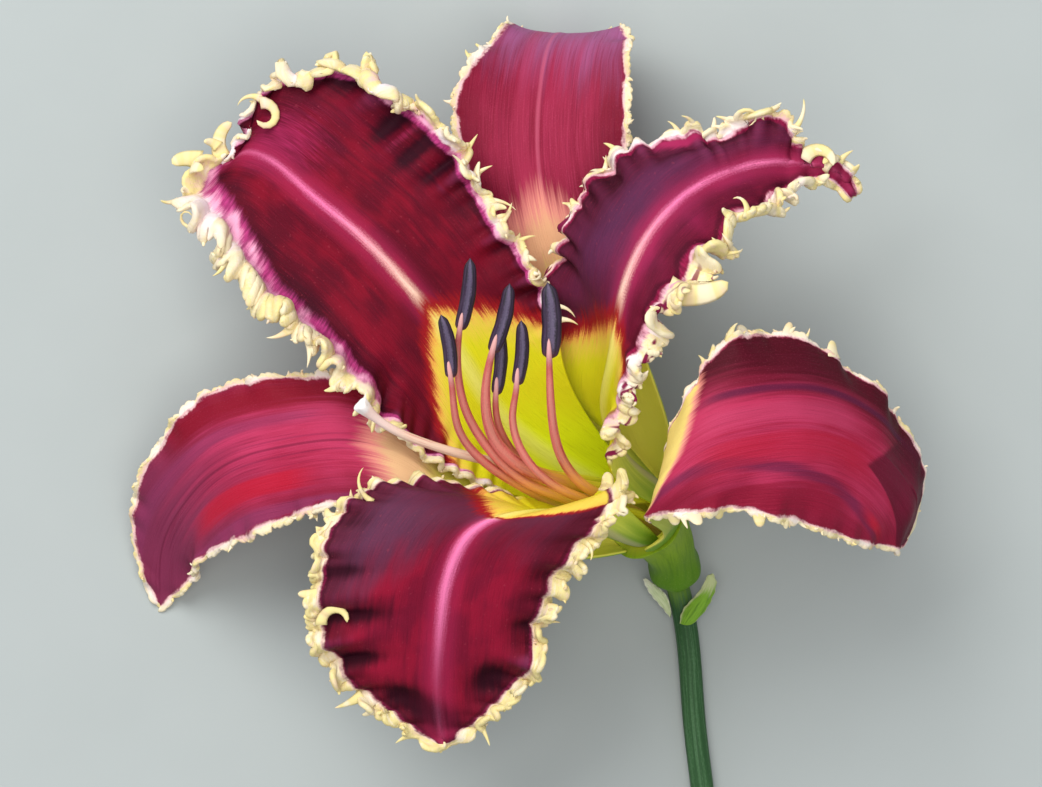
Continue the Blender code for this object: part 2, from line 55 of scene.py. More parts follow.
# Rows across a petal from seat to tip: left edge, midrib, right edge, and how far each half bulges up.
# Margins, left (-1) and right (1): place from seat to tip, width of the pale band, how many degrees it
# lifts at its root and curls on its way out, how much more or less a lobe curls, and its teeth's length.
# A blend says how far inside the edge the red turns magenta, and where on the band it turns cream.
# Round is the seat's turn round the tube, and flare how far it leans out there. Sway is how strongly the
# blade swings with its ruffles. Each margin is fringed from its place fringe_from on.
# Ruffles, left and right: their length, their height at the edge, and how far each curls the band in turn.
# Hooks are the longest teeth: side, place, length, width, curl, and bend towards the tip.
# Tendrils: where each is rooted, how far above the blade, where it heads, length, width, curl, bend, taper.
# Swells are single bulges and hollows: place, share of the way to an edge, length, width, height, and the
# light
# painted on them: a painted highlight where positive, painted shade where negative.
PETALS = {
    "petal_upper_left": {
        "round": 155,
        "flare": 25,
        "rows": (
            (-8.5, -16, 41, -4, -3.5, 35.5, 7.5, 5.5, 39, 0, 0),
            (-21, -9, 46, -13, 10, 39, 4, 21, 43, -1, 0),
            (-32, 0, 49, -20.5, 19.5, 40, -4, 33, 43, -2, 1),
            (-42, 8, 48, -29, 28.5, 39.5, -9.8, 45, 43, -3, 1),
            (-51, 18, 45, -38.5, 36.5, 37, -17.5, 56.2, 41, -3, 1),
            (-56.5, 27, 41, -46, 42.5, 33.5, -29.5, 62.4, 38, -2, 1),
            (-61.5, 32.5, 36.5, -51, 43.5, 31, -43.3, 58.8, 34, -1, 0),
            (-62, 37, 31.5, -55.5, 41.7, 28.8, -50, 46.2, 29.5, 0, 0),
        ),
        "fringe_from": {-1: 0.22, 1: 0.34},
        "blend": {-1: (0.6, 5.2, 0.3), 1: (0.8, 1.3, 0.3)},
        "sway": 0.8,
        "ruffles": {-1: (4.6, 0.5, 40), 1: (6, 0.9, 60)},
        "margins": {
            -1: (
                (0.25, 0.5, 0, 0, 20, 0.2), (0.32, 0.7, 0, 0, 20, 0.3), (0.45, 1, 0, 0, 20, 0.5),
                (0.5, 2.8, 0, 0, 50, 2), (0.56, 4.4, 20, -20, 60, 2), (0.64, 6.4, 45, -90, 40, 1.5),
                (0.75, 7.4, 50, -120, 30, 1.2), (0.86, 7.8, 50, -130, 30, 1.2), (0.94, 6, 40, -90, 50, 1.4),
                (1, 3.6, 0, 0, 60, 1.8),
            ),
            1: (
                (0.36, 1, 0, 0, 30, 0.8), (0.42, 1.2, 0, 10, 40, 0.8), (0.5, 1.6, 0, 20, 50, 1.4),
                (0.6, 2, 0, 20, 60, 2), (0.68, 2.6, 0, 60, 60, 1.8), (0.74, 4, 0, 110, 60, 1.3),
                (0.79, 5.6, 10, 170, 50, 1.1), (0.85, 6.2, 10, 200, 60, 0.8), (0.92, 5.6, 10, 200, 70, 0.8),
                (0.945, 3.6, 0, 110, 60, 0.8), (0.965, 1.2, 0, 40, 30, 0.5), (0.985, 0.7, 0, 0, 30, 0.2),
                (1, 0.8, 0, 0, 30, 0.2),
            ),
        },
        "swells": (
            (0.82, -0.6, 16, 3, -1.6, 0), (0.68, -0.62, 14, 3, -1.3, 0), (0.88, 0.78, 3, 4, -1.8, -1),
            (0.78, 0.72, 2.2, 6, -1.8, -1.3), (0.83, 0.8, 2.5, 5, 1.4, 0.3), (0.72, 0.72, 2.2, 6, -1.5, -1.3),
            (0.67, 0.74, 2, 5, -1.3, -1), (0.97, 0, 3, 12, -2, -0.4), (0.75, 0.74, 1.5, 6, 0.9, 0.8),
            (0.695, 0.76, 1.5, 5, 0.7, 0.6), (0.89, 0.22, 9, 7, 0, 0.7),
        ),
        "hooks": (
            (-1, 0.475, 4.5, 2, 60, -20), (-1, 0.505, 5, 2.4, 0, -25), (-1, 0.527, 5, 2.2, -10, -10),
            (-1, 0.56, 4.5, 1.6, 150, 20), (-1, 0.625, 4.5, 1.5, 10, -35), (-1, 0.655, 4.5, 1.3, -10, 20),
            (-1, 0.69, 6, 1.8, -10, 50), (-1, 0.765, 4, 1.5, -30, 30), (-1, 0.80, 4.5, 1.4, -10, -40),
            (-1, 0.88, 5, 1.6, -30, 60), (-1, 0.93, 9, 0.9, 10, 300), (1, 0.375, 5, 1.5, 10, -60),
            (1, 0.4, 6, 1.3, 10, -85), (1, 0.47, 6.5, 0.8, 175, -20), (1, 0.51, 4, 1.2, 0, -40),
            (1, 0.545, 4.5, 1.5, 0, 35), (1, 0.585, 5.5, 1, 0, -45), (1, 0.628, 4, 1.2, 0, -25),
            (1, 0.645, 4, 1.2, 10, -20), (1, 0.668, 4, 1.3, 20, -20), (1, 0.79, 5, 1.6, 150, 60),
            (-1, 0.985, 5, 3, 120, -20),
        ),
        "tendrils": (
            (-54, 42.6, 0.5, -56.2, 47, 7.5, 2.6, 20, -90, 0.2),
            (-54.6, 44.5, 1, -56.6, 46.5, 3.4, 1.8, 60, 60, 0.4),
            (-47, 52.4, 2.6, -43, 53, 9, 1.8, 10, -240, 0.3),
            (-46.6, 53, 0.5, -49.6, 55, 5.4, 1.3, 0, 100, 0.85),
            (-58, 42, 0.5, -60.5, 43, 5.5, 3, 30, 60, 0.2),
        ),
    },
    "petal_upper_right": {
        "round": 35,
        "flare": 10,
        "rows": (
            (19.5, -10, 27.5, 21.3, -14, 34, 20, -17.8, 39.5, 0, 0),
            (5.5, 3, 29.5, 15, -3.6, 44, 15.8, -11.5, 52, -2, 0),
            (4, 18, 36.5, 16.3, 7, 54, 17.5, 0, 60.5, -2, 0),
            (7, 29, 43, 18.3, 18, 57, 26, 13, 64, 1, 0),
            (13, 40.5, 46, 23, 28.5, 56, 33, 20, 61, 1, 0),
            (25, 45, 46.5, 31, 36.5, 53, 41, 26.5, 57, 1, 0),
            (37.5, 47.8, 46.5, 39.5, 40.3, 49.5, 47.5, 31, 53, 0, 0),
            (44.2, 52, 47, 44, 41.3, 48.3, 49.6, 33.2, 50.5, 0, 0),
            (48.2, 46.8, 45, 48.5, 41.5, 46.5, 51, 35, 48, 0, 0),
            (56.5, 43, 43, 56.2, 40, 43.2, 54.5, 37.3, 43.2, 0, 0),
            (61, 37.5, 39.5, 59.7, 35.8, 39, 57.8, 35, 39, 0, 0),
        ),
        "fringe_from": {-1: 0.38, 1: 0.2},
        "blend": {-1: (0.5, 0.5, 0.5), 1: (0.7, 0.7, 0.35)},
        "sway": 0.7,
        "ruffles": {-1: (5.5, 0.55, 45), 1: (8.2, 1.3, 70)},
        "margins": {
            -1: (
                (0.4, 1, 0, 0, 30, 0.6), (0.48, 1.4, 0, 10, 40, 1.4), (0.56, 1.8, 0, 20, 50, 1.8),
                (0.62, 1.8, 0, 0, 50, 1.4), (0.68, 1.4, 0, -20, 40, 1.1), (0.75, 2, 0, 40, 60, 1.3),
                (0.8, 3, 0, 120, 60, 1.1), (0.86, 1.6, 0, 20, 50, 1.4), (0.92, 2.6, 0, 90, 70, 1.3),
                (0.96, 1.2, 0, 40, 60, 1.1), (1, 1.2, 0, 40, 60, 1.1),
            ),
            1: (
                (0.22, 2, 0, -40, 60, 0.7), (0.3, 4, 0, -40, 50, 0.9), (0.38, 5, 0, -45, 60, 0.9),
                (0.46, 5.5, 0, -30, 60, 1), (0.5, 7, 0, 30, 50, 1), (0.55, 3.6, 0, 50, 60, 1.1),
                (0.6, 7.4, 0, 90, 60, 1.1), (0.65, 3.6, 0, 40, 60, 1.3), (0.7, 7, 0, 110, 60, 1.1),
                (0.75, 3.4, 0, 50, 60, 1.3), (0.8, 5.6, 0, 110, 60, 1), (0.86, 5, 0, 120, 50, 0.9),
                (0.91, 4, 0, 110, 50, 1), (0.94, 1.5, 0, 30, 60, 1.2), (1, 1.2, 0, 40, 60, 1.1),
            ),
        },
        "swells": (
            (0.73, -0.42, 8, 2.6, 2, -0.5), (0.73, -0.62, 7, 1.6, -1.6, -1), (0.72, -0.84, 4.6, 2.4, 1, 1.7),
            (0.725, -1, 5.5, 4, 1.6, 1), (0.83, -0.7, 4, 3, 1.8, 0), (0.88, 0, 5, 4, -1, 0),
            (0.58, -0.8, 4, 4, -1.6, -0.4), (0.46, -0.85, 4, 4, -1.2, -0.4), (0.84, 0.7, 4, 3, -1, -0.3),
        ),
        "hooks": (
            (-1, 0.51, 3.5, 1.3, 120, 20), (-1, 0.53, 4, 1.3, 0, 20), (-1, 0.585, 4, 1.3, 10, -15),
            (-1, 0.605, 5.5, 1.5, 0, 10), (-1, 0.71, 3.5, 1.2, 0, -55), (-1, 0.73, 4, 1.2, 0, -60),
            (-1, 0.79, 9, 1.4, 20, 290), (-1, 0.82, 4, 1.4, 10, -35), (-1, 0.86, 3, 1.6, 40, -20),
            (-1, 0.93, 6, 2.6, 200, 0), (1, 0.93, 4, 2, 160, 0), (1, 0.37, 4, 1.5, 120, -20),
            (1, 0.52, 5, 1.8, 150, -30), (1, 0.63, 7, 1, 30, -60), (1, 0.66, 6, 1.8, 150, -20),
            (1, 0.7, 5.5, 1.6, 150, 20), (1, 0.78, 4, 1.3, 20, -20),
        ),
        "tendrils": (
            (26, 18.4, 0.5, 31, 16.4, 11.5, 4, 10, 60, 0.1), (43.4, 49.8, 0.5, 40, 49.6, 5, 1.6, 0, 20, 0.85),
            (48.6, 46.8, 0.5, 50.6, 49, 6.5, 1.1, 0, 50, 0.6),
            (50.4, 42, 0.5, 52, 44.6, 8, 2.5, 20, -150, 0.3),
            (57, 41.5, 0.5, 58.5, 43.5, 3.4, 1.3, 0, -30, 0.8),
        ),
    },
    "petal_lower": {
        "round": 275,
        "flare": 15,
        "rows": (
            (18, -15.5, 53, 6.4, -21.3, 52.8, -2.6, -17.9, 46.3, 0, 0),
            (20.5, -17.5, 57, -2, -21.8, 57.5, -24, -15.5, 49, 1, 2),
            (15, -25, 55, -8, -24, 58, -34, -21, 48, 1, 3),
            (9.5, -32.5, 52, -12.5, -31, 55.5, -38, -32, 46, 1, 2),
            (5, -42, 48, -14.3, -40.5, 50.5, -38.5, -43, 43, 1, 1),
            (3, -51.5, 43, -15, -50, 45, -33.5, -52.5, 39, 0, 0),
            (-4.5, -58.5, 39, -14.8, -57.5, 40, -25, -58.5, 37, 0, 0),
            (-10, -62, 37, -14, -63, 37, -18, -62, 36.5, 0, 0),
        ),
        "fringe_from": {-1: 0.22, 1: 0.3},
        "blend": {-1: (0.6, 0.6, 0.25), 1: (0.7, 0.7, 0.25)},
        "sway": 0.35,
        "lobe": (1.6, 3.8),
        "ruffles": {-1: (5.6, 0.5, 70), 1: (5, 0.45, 60)},
        "margins": {
            -1: (
                (0.24, 1.5, 0, 20, 50, 0.6), (0.3, 3.5, 0, 40, 60, 1), (0.38, 5, 0, 40, 60, 1.1),
                (0.45, 5, 0, 60, 60, 1.1), (0.52, 4.2, 0, 90, 60, 1), (0.62, 3.6, 0, 80, 70, 1),
                (0.75, 3, 0, 50, 60, 1), (0.9, 3.2, 0, 50, 60, 1.2), (1, 2.6, 0, 40, 60, 1.1),
            ),
            1: (
                (0.33, 0.9, 0, 0, 20, 0.4), (0.42, 1.1, 0, 20, 30, 0.7), (0.48, 1.7, 0, 40, 50, 1.2),
                (0.55, 2.8, 0, 50, 60, 1.3), (0.66, 3, 0, 40, 70, 1.4), (0.8, 3.2, 0, 50, 60, 1.3),
                (0.92, 3.2, 0, 60, 60, 1.3), (1, 2.6, 0, 40, 60, 1.2),
            ),
        },
        "swells": (
            (0.6, -0.8, 2.5, 4, -1.2, -0.3), (0.72, -0.8, 2.5, 4, -1.5, -0.8), (0.85, -0.55, 4, 4, -2, -1.1),
            (0.79, -0.75, 3, 4, 1, 0.1), (0.52, 0.85, 1.8, 6, -1, -0.6), (0.56, 0.8, 1.6, 6, 1.2, 0),
            (0.6, 0.8, 1.6, 7, -1.3, -0.9), (0.645, 0.8, 1.6, 7, 1.3, 0), (0.69, 0.76, 1.7, 7, -1.6, -1.1),
            (0.735, 0.8, 1.5, 6, 1.2, 0), (0.79, 0.74, 2, 6, -1.7, -1.2), (0.89, 0.5, 3, 4, -1.6, -0.9),
            (0.94, 0, 4, 6, 0, -0.7), (0.68, 0.5, 5, 6, 0, -0.45), (0.89, 0.25, 5, 4, 0, -0.5),
        ),
        "hooks": (
            (1, 0.48, 4, 1.6, 80, -40), (1, 0.64, 3.5, 2.2, 0, 0), (1, 0.69, 3.5, 2.2, 0, 10),
            (1, 0.97, 3.5, 1.4, 0, 20), (-1, 0.45, 5, 1.6, 120, 0), (-1, 0.52, 6, 1.4, 60, 30),
            (-1, 0.62, 6, 1, 20, 290), (-1, 0.72, 4, 1.4, 20, 20), (-1, 0.95, 4, 1.4, 0, 30),
        ),
        "tendrils": (
            (-26.4, -19.4, 0.5, -28.4, -18.4, 7.5, 1, 0, -100, 0.7),
            (-35.8, -41.4, 2.4, -35.8, -39, 8, 1.7, 20, -180, 0.2),
            (-28.4, -54.2, 0.5, -31, -55.8, 5.6, 2, 0, -15, 0.8),
        ),
    },
}


def outward(degrees):
    """The direction away from the tube's axis at this angle round it, from its right side towards its top."""
    turn = math.radians(degrees)
    return math.cos(turn) * ROUND_RIGHT + math.sin(turn) * ROUND_TOP


def spacing(points):
    """How far along the way through these points each of them lies, from 0 to 1."""
    steps = np.linalg.norm(np.diff(np.asarray(points, float), axis=0), axis=1)
    return np.concatenate([[0], np.cumsum(steps)]) / steps.sum()


def spline(values, knots, places):
    """What the natural cubic spline that takes these values at the knots gives at places between them."""
    values = np.asarray(values, float)
    count = len(values)
    gaps = np.diff(knots)[:, None]
    slopes = np.diff(values, axis=0) / gaps
    matrix = np.eye(count)
    right = np.zeros_like(values)
    for row in range(1, count - 1):
        before, after = gaps[row - 1, 0], gaps[row, 0]
        matrix[row, row - 1 : row + 2] = before, 2 * (before + after), after
        right[row] = 6 * (slopes[row] - slopes[row - 1])
    bends = np.linalg.solve(matrix, right)
    first = np.clip(np.searchsorted(knots, places, side="right") - 1, 0, count - 2)
    step = gaps[first]
    b = (np.asarray(places) - knots[first])[:, None] / step
    a = 1 - b
    smooth = a * values[first] + b * values[first + 1]
    return smooth + ((a**3 - a) * bends[first] + (b**3 - b) * bends[first + 1]) * step**2 / 6


def unit(vectors):
    return vectors / np.maximum(np.linalg.norm(vectors, axis=-1, keepdims=True), 1e-9)


def smooth_step(values):
    values = np.clip(values, 0, 1)
    return values * values * (3 - 2 * values)


def distances(points):
    """How far along a line of points each of them lies."""
    return np.concatenate([[0], np.cumsum(np.linalg.norm(np.diff(points, axis=0), axis=1))])


def seat_row(tepal, ring, rise):
    """A row on the cone on which a tepal leaves the tube, this far above the rim."""
    flare = math.radians(tepal["flare"])
    middle = TUBE_MOUTH + TUBE_AXIS * (SEAT_GAP + rise * math.cos(flare))
    radius = ring + rise * math.sin(flare)
    half = SEAT_HALF_TURN + 0.6 * rise
    points = [middle + radius * outward(tepal["round"] + turn) for turn in (half, 0, -half)]
    return [value for point in points for value in point] + [0, 0]


def upward(points):
    """The unit normals of a grid of points, on the face that looks at the bloom's axis."""
    return unit(np.cross(np.gradient(points, axis=1), np.gradient(points, axis=0)))


def blade_points(rows, places, across):
    """The smooth surface through a blade's rows, by rib and by place across, -1 to 1 from left to right."""
    rows = np.array(rows, float)
    rows = spline(rows, spacing(rows[:, 3:6]), places)
    left, middle, right = rows[:, None, 0:3], rows[:, None, 3:6], rows[:, None, 6:9]
    place = across[..., None]
    points = middle + (right - left) / 2 * place + ((right + left) / 2 - middle) * place**2
    if rows.shape[1] == 9:
        return points
    bulge = np.where(across < 0, rows[:, 9:10], rows[:, 10:11])
    between = 16 * across**2 * (1 - np.abs(across)) ** 2
    return points + (bulge * between)[..., None] * upward(points)


def wave(seed, distance, lengths, heights):
    """A ruffle: sines of these lengths and heights, started by chance, at these distances along a margin."""
    draw = random.Random(seed)
    total = np.zeros_like(distance)
    for length, height in zip(lengths, heights):
        total += height * np.sin(math.tau * distance / length + draw.uniform(0, math.tau))
    return total


def lobes(seed, distance, gap):
    """A fringe's lobes: how far across its lobe each place lies, -1 to 1, and three random values a lobe."""
    draw = random.Random(seed)
    ends = [-draw.uniform(*gap)]
    while ends[-1] < distance.max():
        ends.append(ends[-1] + draw.uniform(*gap))
    values = np.array([[draw.uniform(-1, 1) for _ in range(3)] for _ in ends])
    lobe = np.clip(np.searchsorted(ends, distance, side="right") - 1, 0, len(ends) - 2)
    ends = np.array(ends)
    across = 2 * (distance - ends[lobe]) / (ends[lobe + 1] - ends[lobe]) - 1
    own = values[lobe]
    for _ in range(2):
        own[1:-1] = (own[:-2] + own[1:-1] + own[2:]) / 3
    return across, own.T


def margin_parts(name, hand, places, tepal, style, start, sides, width):
    """A margin's band: how wide it is at each rib, how it curls and leans, and how its lobes are cut."""
    travel = np.interp(places, start, distances(sides))
    margin = np.array(tepal["margins"][hand], float)
    ruffle_length, ruffle_height, ruffle_curl = tepal["ruffles"][hand]
    drift = wave(f"{name} {hand} drift", travel, (3.3 * ruffle_length, 1.9 * ruffle_length), (1.5, 0.9))
    ruffle = np.sin(math.tau * travel / ruffle_length + drift) * (0.75 + 0.25 * np.sin(travel / 3.7 + drift))
    band, lift, curl, spread, tooth = (np.interp(places, margin[:, 0], column) for column in margin.T[1:])
    fringed = smooth_step((places - tepal["fringe_from"][hand]) / 0.05)
    band = np.minimum(band * fringed + 0.25, 0.45 * width)
    across, (turn, lean, blush) = lobes(f"{name} {hand} lobes", travel, tepal.get("lobe", style["lobe"]))
    small, (flick, _, _) = lobes(f"{name} {hand} notches", travel, style["notch"])
    length = band * (1 - 0.5 * fringed * np.abs(across) ** 3) * (1 - 0.22 * fringed * np.abs(small) ** 3)
    return {
        "travel": travel,
        "width": width,
        "band": band,
        "start": 1 - band / width,
        "length": np.maximum(length, 0.4) + style["lip"] * fringed,
        "lift": np.radians(lift * fringed),
        "curl": np.radians((curl + spread * turn + ruffle_curl * ruffle + 20 * flick) * fringed),
        "ruffle": ruffle_height * ruffle * fringed,
        "lean": 0.5 * lean * fringed,
        "blush": blush,
        "tooth": tooth * fringed,
        "fringed": fringed,
    }


def grown_band(part, edge, sideways, up, forward, columns):
    """A margin's band grown out from the blade's edge, column by column, and the way it points at its rim."""
    length = part["length"][:, None]
    rim = np.minimum(0.6, length / 3)
    bent = np.radians(22.5 * np.arange(1, 5))[None]
    plain = np.linspace(0, 1, columns - 3)[None, 1:] * (length - rim)
    distance = np.concatenate([plain, length - rim + rim * np.sin(bent)], axis=1)
    swell = np.concatenate([np.ones_like(plain), np.cos(bent) * np.ones_like(rim)], axis=1)
    steps = np.diff(distance, axis=1, prepend=0)
    share = (distance - steps / 2) / length
    heading = part["lift"][:, None] * np.minimum(share * 8, 1) + part["curl"][:, None] * share**1.15
    ways = np.cos(heading)[..., None] * sideways[:, None] + np.sin(heading)[..., None] * up[:, None]
    ways = ways + (2 * part["lean"][:, None] * share)[..., None] * forward[:, None]
    points = edge[:, None] + np.cumsum(ways * steps[..., None], axis=1)
    return {"points": points, "distance": distance, "swell": swell, "ways": unit(ways)}


def ring_faces(rings, sides):
    """The faces of a closed body through this many rings of points, with a cap on each end."""
    faces = []
    for ring in range(rings - 1):
        for side in range(sides):
            a, b = ring * sides + side, ring * sides + (side + 1) % sides
            faces.append((a, b, b + sides, a + sides))
    return [*faces, tuple(range(sides))[::-1], tuple(range((rings - 1) * sides, rings * sides))]


TOOTH_MARKS = {"fold": 0, "tint": 0, "fringe": 1, "inner": 1, "inset": 0}


def tooth_block(root, axes, length, width, thickness, curl, bend, taper, marks):
    """One fleshy tooth: a flattened tapering body that curls up and bends along the margin, and its marks.

    Its axes are the way it grows, up from the blade, and forward along the margin.
    """
    way, up, forward = axes
    depth = thickness * (0.75 + 0.1 * width)
    rings, sides = 11, 8
    steps = np.concatenate([np.linspace(0, 0.93, rings - 1), [1]])
    place, points = np.array(root, float), []
    before = 0
    for step in steps:
        aside, rise = math.radians(bend) * step**1.3, math.radians(curl) * step**1.2
        flat = math.cos(aside) * way + math.sin(aside) * forward
        wide = math.cos(aside) * forward - math.sin(aside) * way
        ahead = math.cos(rise) * flat + math.sin(rise) * up
        thick = math.cos(rise) * up - math.sin(rise) * flat
        place = place + ahead * length * (step - before)
        before = step
        size = (1 + 0.35 * (1 - step) ** 4 - taper * step) * math.sqrt(1.0004 - step**6)
        for side in range(sides):
            turn = math.tau * side / sides
            across, over = math.cos(turn) * size * width / 2, math.sin(turn) * size**0.6 * depth / 2
            points.append(place + across * wide + over * thick)
    values = {mark: np.full(len(points), value, float) for mark, value in marks.items()}
    values["edge"] = np.repeat(marks["edge"] + steps * length, sides)
    return np.array(points), ring_faces(rings, sides), values


def sheet_block(upper, lower, marks):
    """A thin closed sheet between two grids of points that meet along their sides."""
    ribs, columns = upper.shape[:2]
    top = np.arange(ribs * columns).reshape(ribs, columns)
    bottom = top + ribs * columns
    bottom[:, 0], bottom[:, -1] = top[:, 0], top[:, -1]
    quads = [
        np.stack([top[:-1, :-1], top[:-1, 1:], top[1:, 1:], top[1:, :-1]], -1).reshape(-1, 4),
        np.stack([bottom[:-1, :-1], bottom[1:, :-1], bottom[1:, 1:], bottom[:-1, 1:]], -1).reshape(-1, 4),
    ]
    for rib, order in ((0, 1), (ribs - 1, -1)):
        strip = np.stack([top[rib, :-1], bottom[rib, :-1], bottom[rib, 1:], top[rib, 1:]], -1)
        quads.append(strip[:, ::order])
    quads = np.concatenate(quads)
    used, index = np.unique(quads, return_inverse=True)
    faces = [tuple(dict.fromkeys(quad)) for quad in index.reshape(quads.shape).tolist()]
    points = np.concatenate([upper.reshape(-1, 3), lower.reshape(-1, 3)])[used]
    values = {mark: np.concatenate([value.reshape(-1)] * 2)[used] for mark, value in marks.items()}
    values["inner"] = (used < ribs * columns).astype(float)
    return points, [face for face in faces if len(face) > 2], values


def joined_object(name, blocks):
    """One object of these blocks of points, faces and marks, with its sizes turned from mm to metres."""
    offset, points, faces = 0, [], []
    for block_points, block_faces, _ in blocks:
        points.append(block_points)
        faces += [tuple(offset + corner for corner in face) for face in block_faces]
        offset += len(block_points)
    mesh = bpy.data.meshes.new(name)
    mesh.from_pydata(((np.concatenate(points) - BASE_MIDDLE) / 1000).tolist(), [], faces)
    for mark in blocks[0][2]:
        values = np.concatenate([block[2][mark] for block in blocks]).astype(np.float32)
        mesh.attributes.new(mark, "FLOAT", "POINT").data.foreach_set("value", values)
    mesh.polygons.foreach_set("use_smooth", [True] * len(mesh.polygons))
    made = bpy.data.objects.new(name, mesh)
    bpy.context.scene.collection.objects.link(made)
    return made


TIP_ROUNDING = 0.045
FLOOR_CLEARANCE = 0.02


def tepal_blocks(name, tepal, ring, style):
    """A tepal's sheet and its teeth, each point marked with where it lies on the tepal, for the colours."""
    rows = [seat_row(tepal, ring, 0), seat_row(tepal, ring, SEAT_RISE), *tepal["rows"]]
    straight = np.linspace(0, 1 - TIP_ROUNDING, style["ribs"])
    sweep = np.radians(np.linspace(0, 80, 27))[1:]
    places = np.concatenate([straight, 1 - TIP_ROUNDING + TIP_ROUNDING * np.sin(sweep) / math.sin(sweep[-1])])
    turned = np.concatenate([np.zeros(len(straight)), sweep])[:, None]
    count = len(places)
    coarse = np.linspace(0, 1, style["solid_ribs"] + 1)
    sides = blade_points(rows, coarse, np.tile((-1.0, 0, 1.0), (len(coarse), 1)))
    fine = blade_points(rows, places, np.tile((-1.0, 0, 1.0), (count, 1)))
    rise = distances(fine[:, 1])
    parts = {}
    for hand, column in ((-1, 0), (1, 2)):
        width = np.linalg.norm(fine[:, column] - fine[:, 1], axis=1)
        parts[hand] = margin_parts(name, hand, places, tepal, style, coarse, sides[:, column], width)

    columns = np.linspace(0, 1, style["columns"])
    columns = columns * (0.3 + 0.7 * columns)
    left = -columns[::-1][None] * parts[-1]["start"][:, None]
    right = columns[None] * parts[1]["start"][:, None]
    across = np.concatenate([left[:, :-1], right], axis=1) * np.cos(turned)
    points = blade_points(rows, places, across)
    normals = upward(points)
    widths = np.where(across < 0, parts[-1]["width"][:, None], parts[1]["width"][:, None])

    # the ruffle swings the blade from well inside it, and the pleats fold it just inside the fringe
    free = smooth_step((places - 0.3) / 0.2) * smooth_step((1 - places) / 0.08)
    folds = np.zeros_like(across)
    swings = np.zeros_like(across)
    for hand in (-1, 1):
        part = parts[hand]
        inside = hand * across
        near = smooth_step((inside - 0.35) / 0.65) ** 1.5
        swing = tepal["sway"] * free * wave(f"{name} {hand}", part["travel"], *style["swing"])
        pleats = wave(f"{name} {hand} pleats", part["travel"], *style["pleats"])
        pleat = part["ruffle"] + part["fringed"] * pleats
        from_edge = (1 - inside) * part["width"][:, None]
        closing = smooth_step(1 - from_edge / style["pleat_reach"]) ** 1.4 * (inside > 0)
        folds += pleat[:, None] * closing
        swings += swing[:, None] * near
    # the swells' painted light: a painted highlight on a crest where positive, painted shade in a hollow
    # where negative
    tint = np.zeros_like(across)
    for place, share, length, breadth, height, swell_lighting in tepal["swells"]:
        off_along = (rise - np.interp(place, places, rise))[:, None] / length
        off_across = (across - share) * widths / breadth
        swell = np.exp(-(off_along**2) - off_across**2)
        swings += height * swell
        tint += swell_lighting * swell
    points = points + (folds + swings)[..., None] * normals
    normals = upward(points)

    # the bands and the teeth grow out of the blade's edges
    ahead = unit(np.gradient(points, axis=0))
    blocks, bands = [], {}
    for hand, edge, inner in ((-1, 0, 1), (1, -1, -2)):
        part = parts[hand]
        side = unit(points[:, edge] - points[:, inner])
        side = unit(side * np.cos(turned) + ahead[:, edge] * np.sin(turned))
        up = unit(normals[:, edge] - (normals[:, edge] * side).sum(1, keepdims=True) * side)
        forward = np.cross(up, side) * hand
        bands[hand] = band = grown_band(part, points[:, edge], side, up, forward, style["band_columns"])
        draw = random.Random(f"{name} {hand} teeth")
        teeth = []
        for which, place, length, width, curl, bend in tepal["hooks"]:
            if which == hand:
                teeth.append((place, length, width, curl, bend, 0.4 if width >= 1.9 else 0.85))
        spot = draw.uniform(*style["tooth_gap"])
        while spot < part["travel"][-1]:
            place = np.interp(spot, part["travel"], places)
            tall = np.interp(place, places, part["tooth"]) * (0.25 + 1.7 * draw.random() ** 2.5)
            if tall > 0.2:
                wide = draw.uniform(*style["tooth_width"]) * (0.6 + 0.3 * tall)
                curl, bend = draw.gauss(0, 70), draw.gauss(0, 50)
                teeth.append((place, tall + 0.9, wide, curl, bend, draw.uniform(0.3, 0.9)))
            spot += draw.uniform(*style["tooth_gap"])
        for place, length, width, curl, bend, taper in teeth:
            rib = int(np.clip(np.searchsorted(places, place), 1, count - 2))
            at = style["band_columns"] - 4
            way = band["ways"][rib, at]
            tooth_forward = unit(forward[rib] - (forward[rib] * way).sum() * way)
            tooth_up = unit(np.cross(way, tooth_forward) * hand)
            marks = {
                **TOOTH_MARKS, "along": rise[rib], "across": hand * part["width"][rib], "edge": 2,
                "travel": part["travel"][rib], "blush": draw.uniform(-0.6, 0.6),
            }
            root = band["points"][rib, at] - way * min(0.9, 0.5 * part["length"][rib])
            axes = (way, tooth_up, tooth_forward)
            shape = (length, width, style["edge_thickness"], curl, bend, taper)
            blocks.append(tooth_block(root, axes, *shape, marks))
    for x, y, above, to_x, to_y, length, width, curl, bend, taper in tepal.get("tendrils", ()):
        spots = points.reshape(-1, 3)
        nearest = np.linalg.norm(spots[:, :2] - (x, y), axis=1).argmin()
        way = unit(np.array((to_x - x, to_y - y, 0)))
        marks = {**TOOTH_MARKS, "along": rise[nearest // across.shape[1]], "across": 0, "edge": 1.4}
        marks.update(travel=x, blush=0.3)
        root = np.array((x, y, spots[nearest, 2] + above))
        axes = (way, np.array((0, 0, 1)), np.cross((0, 0, 1), way))
        shape = (length, width, style["edge_thickness"], curl, bend, taper)
        blocks.append(tooth_block(root, axes, *shape, marks))

    def joined(left, middle, right):
        return np.concatenate([left[:, ::-1], middle, right], axis=1)

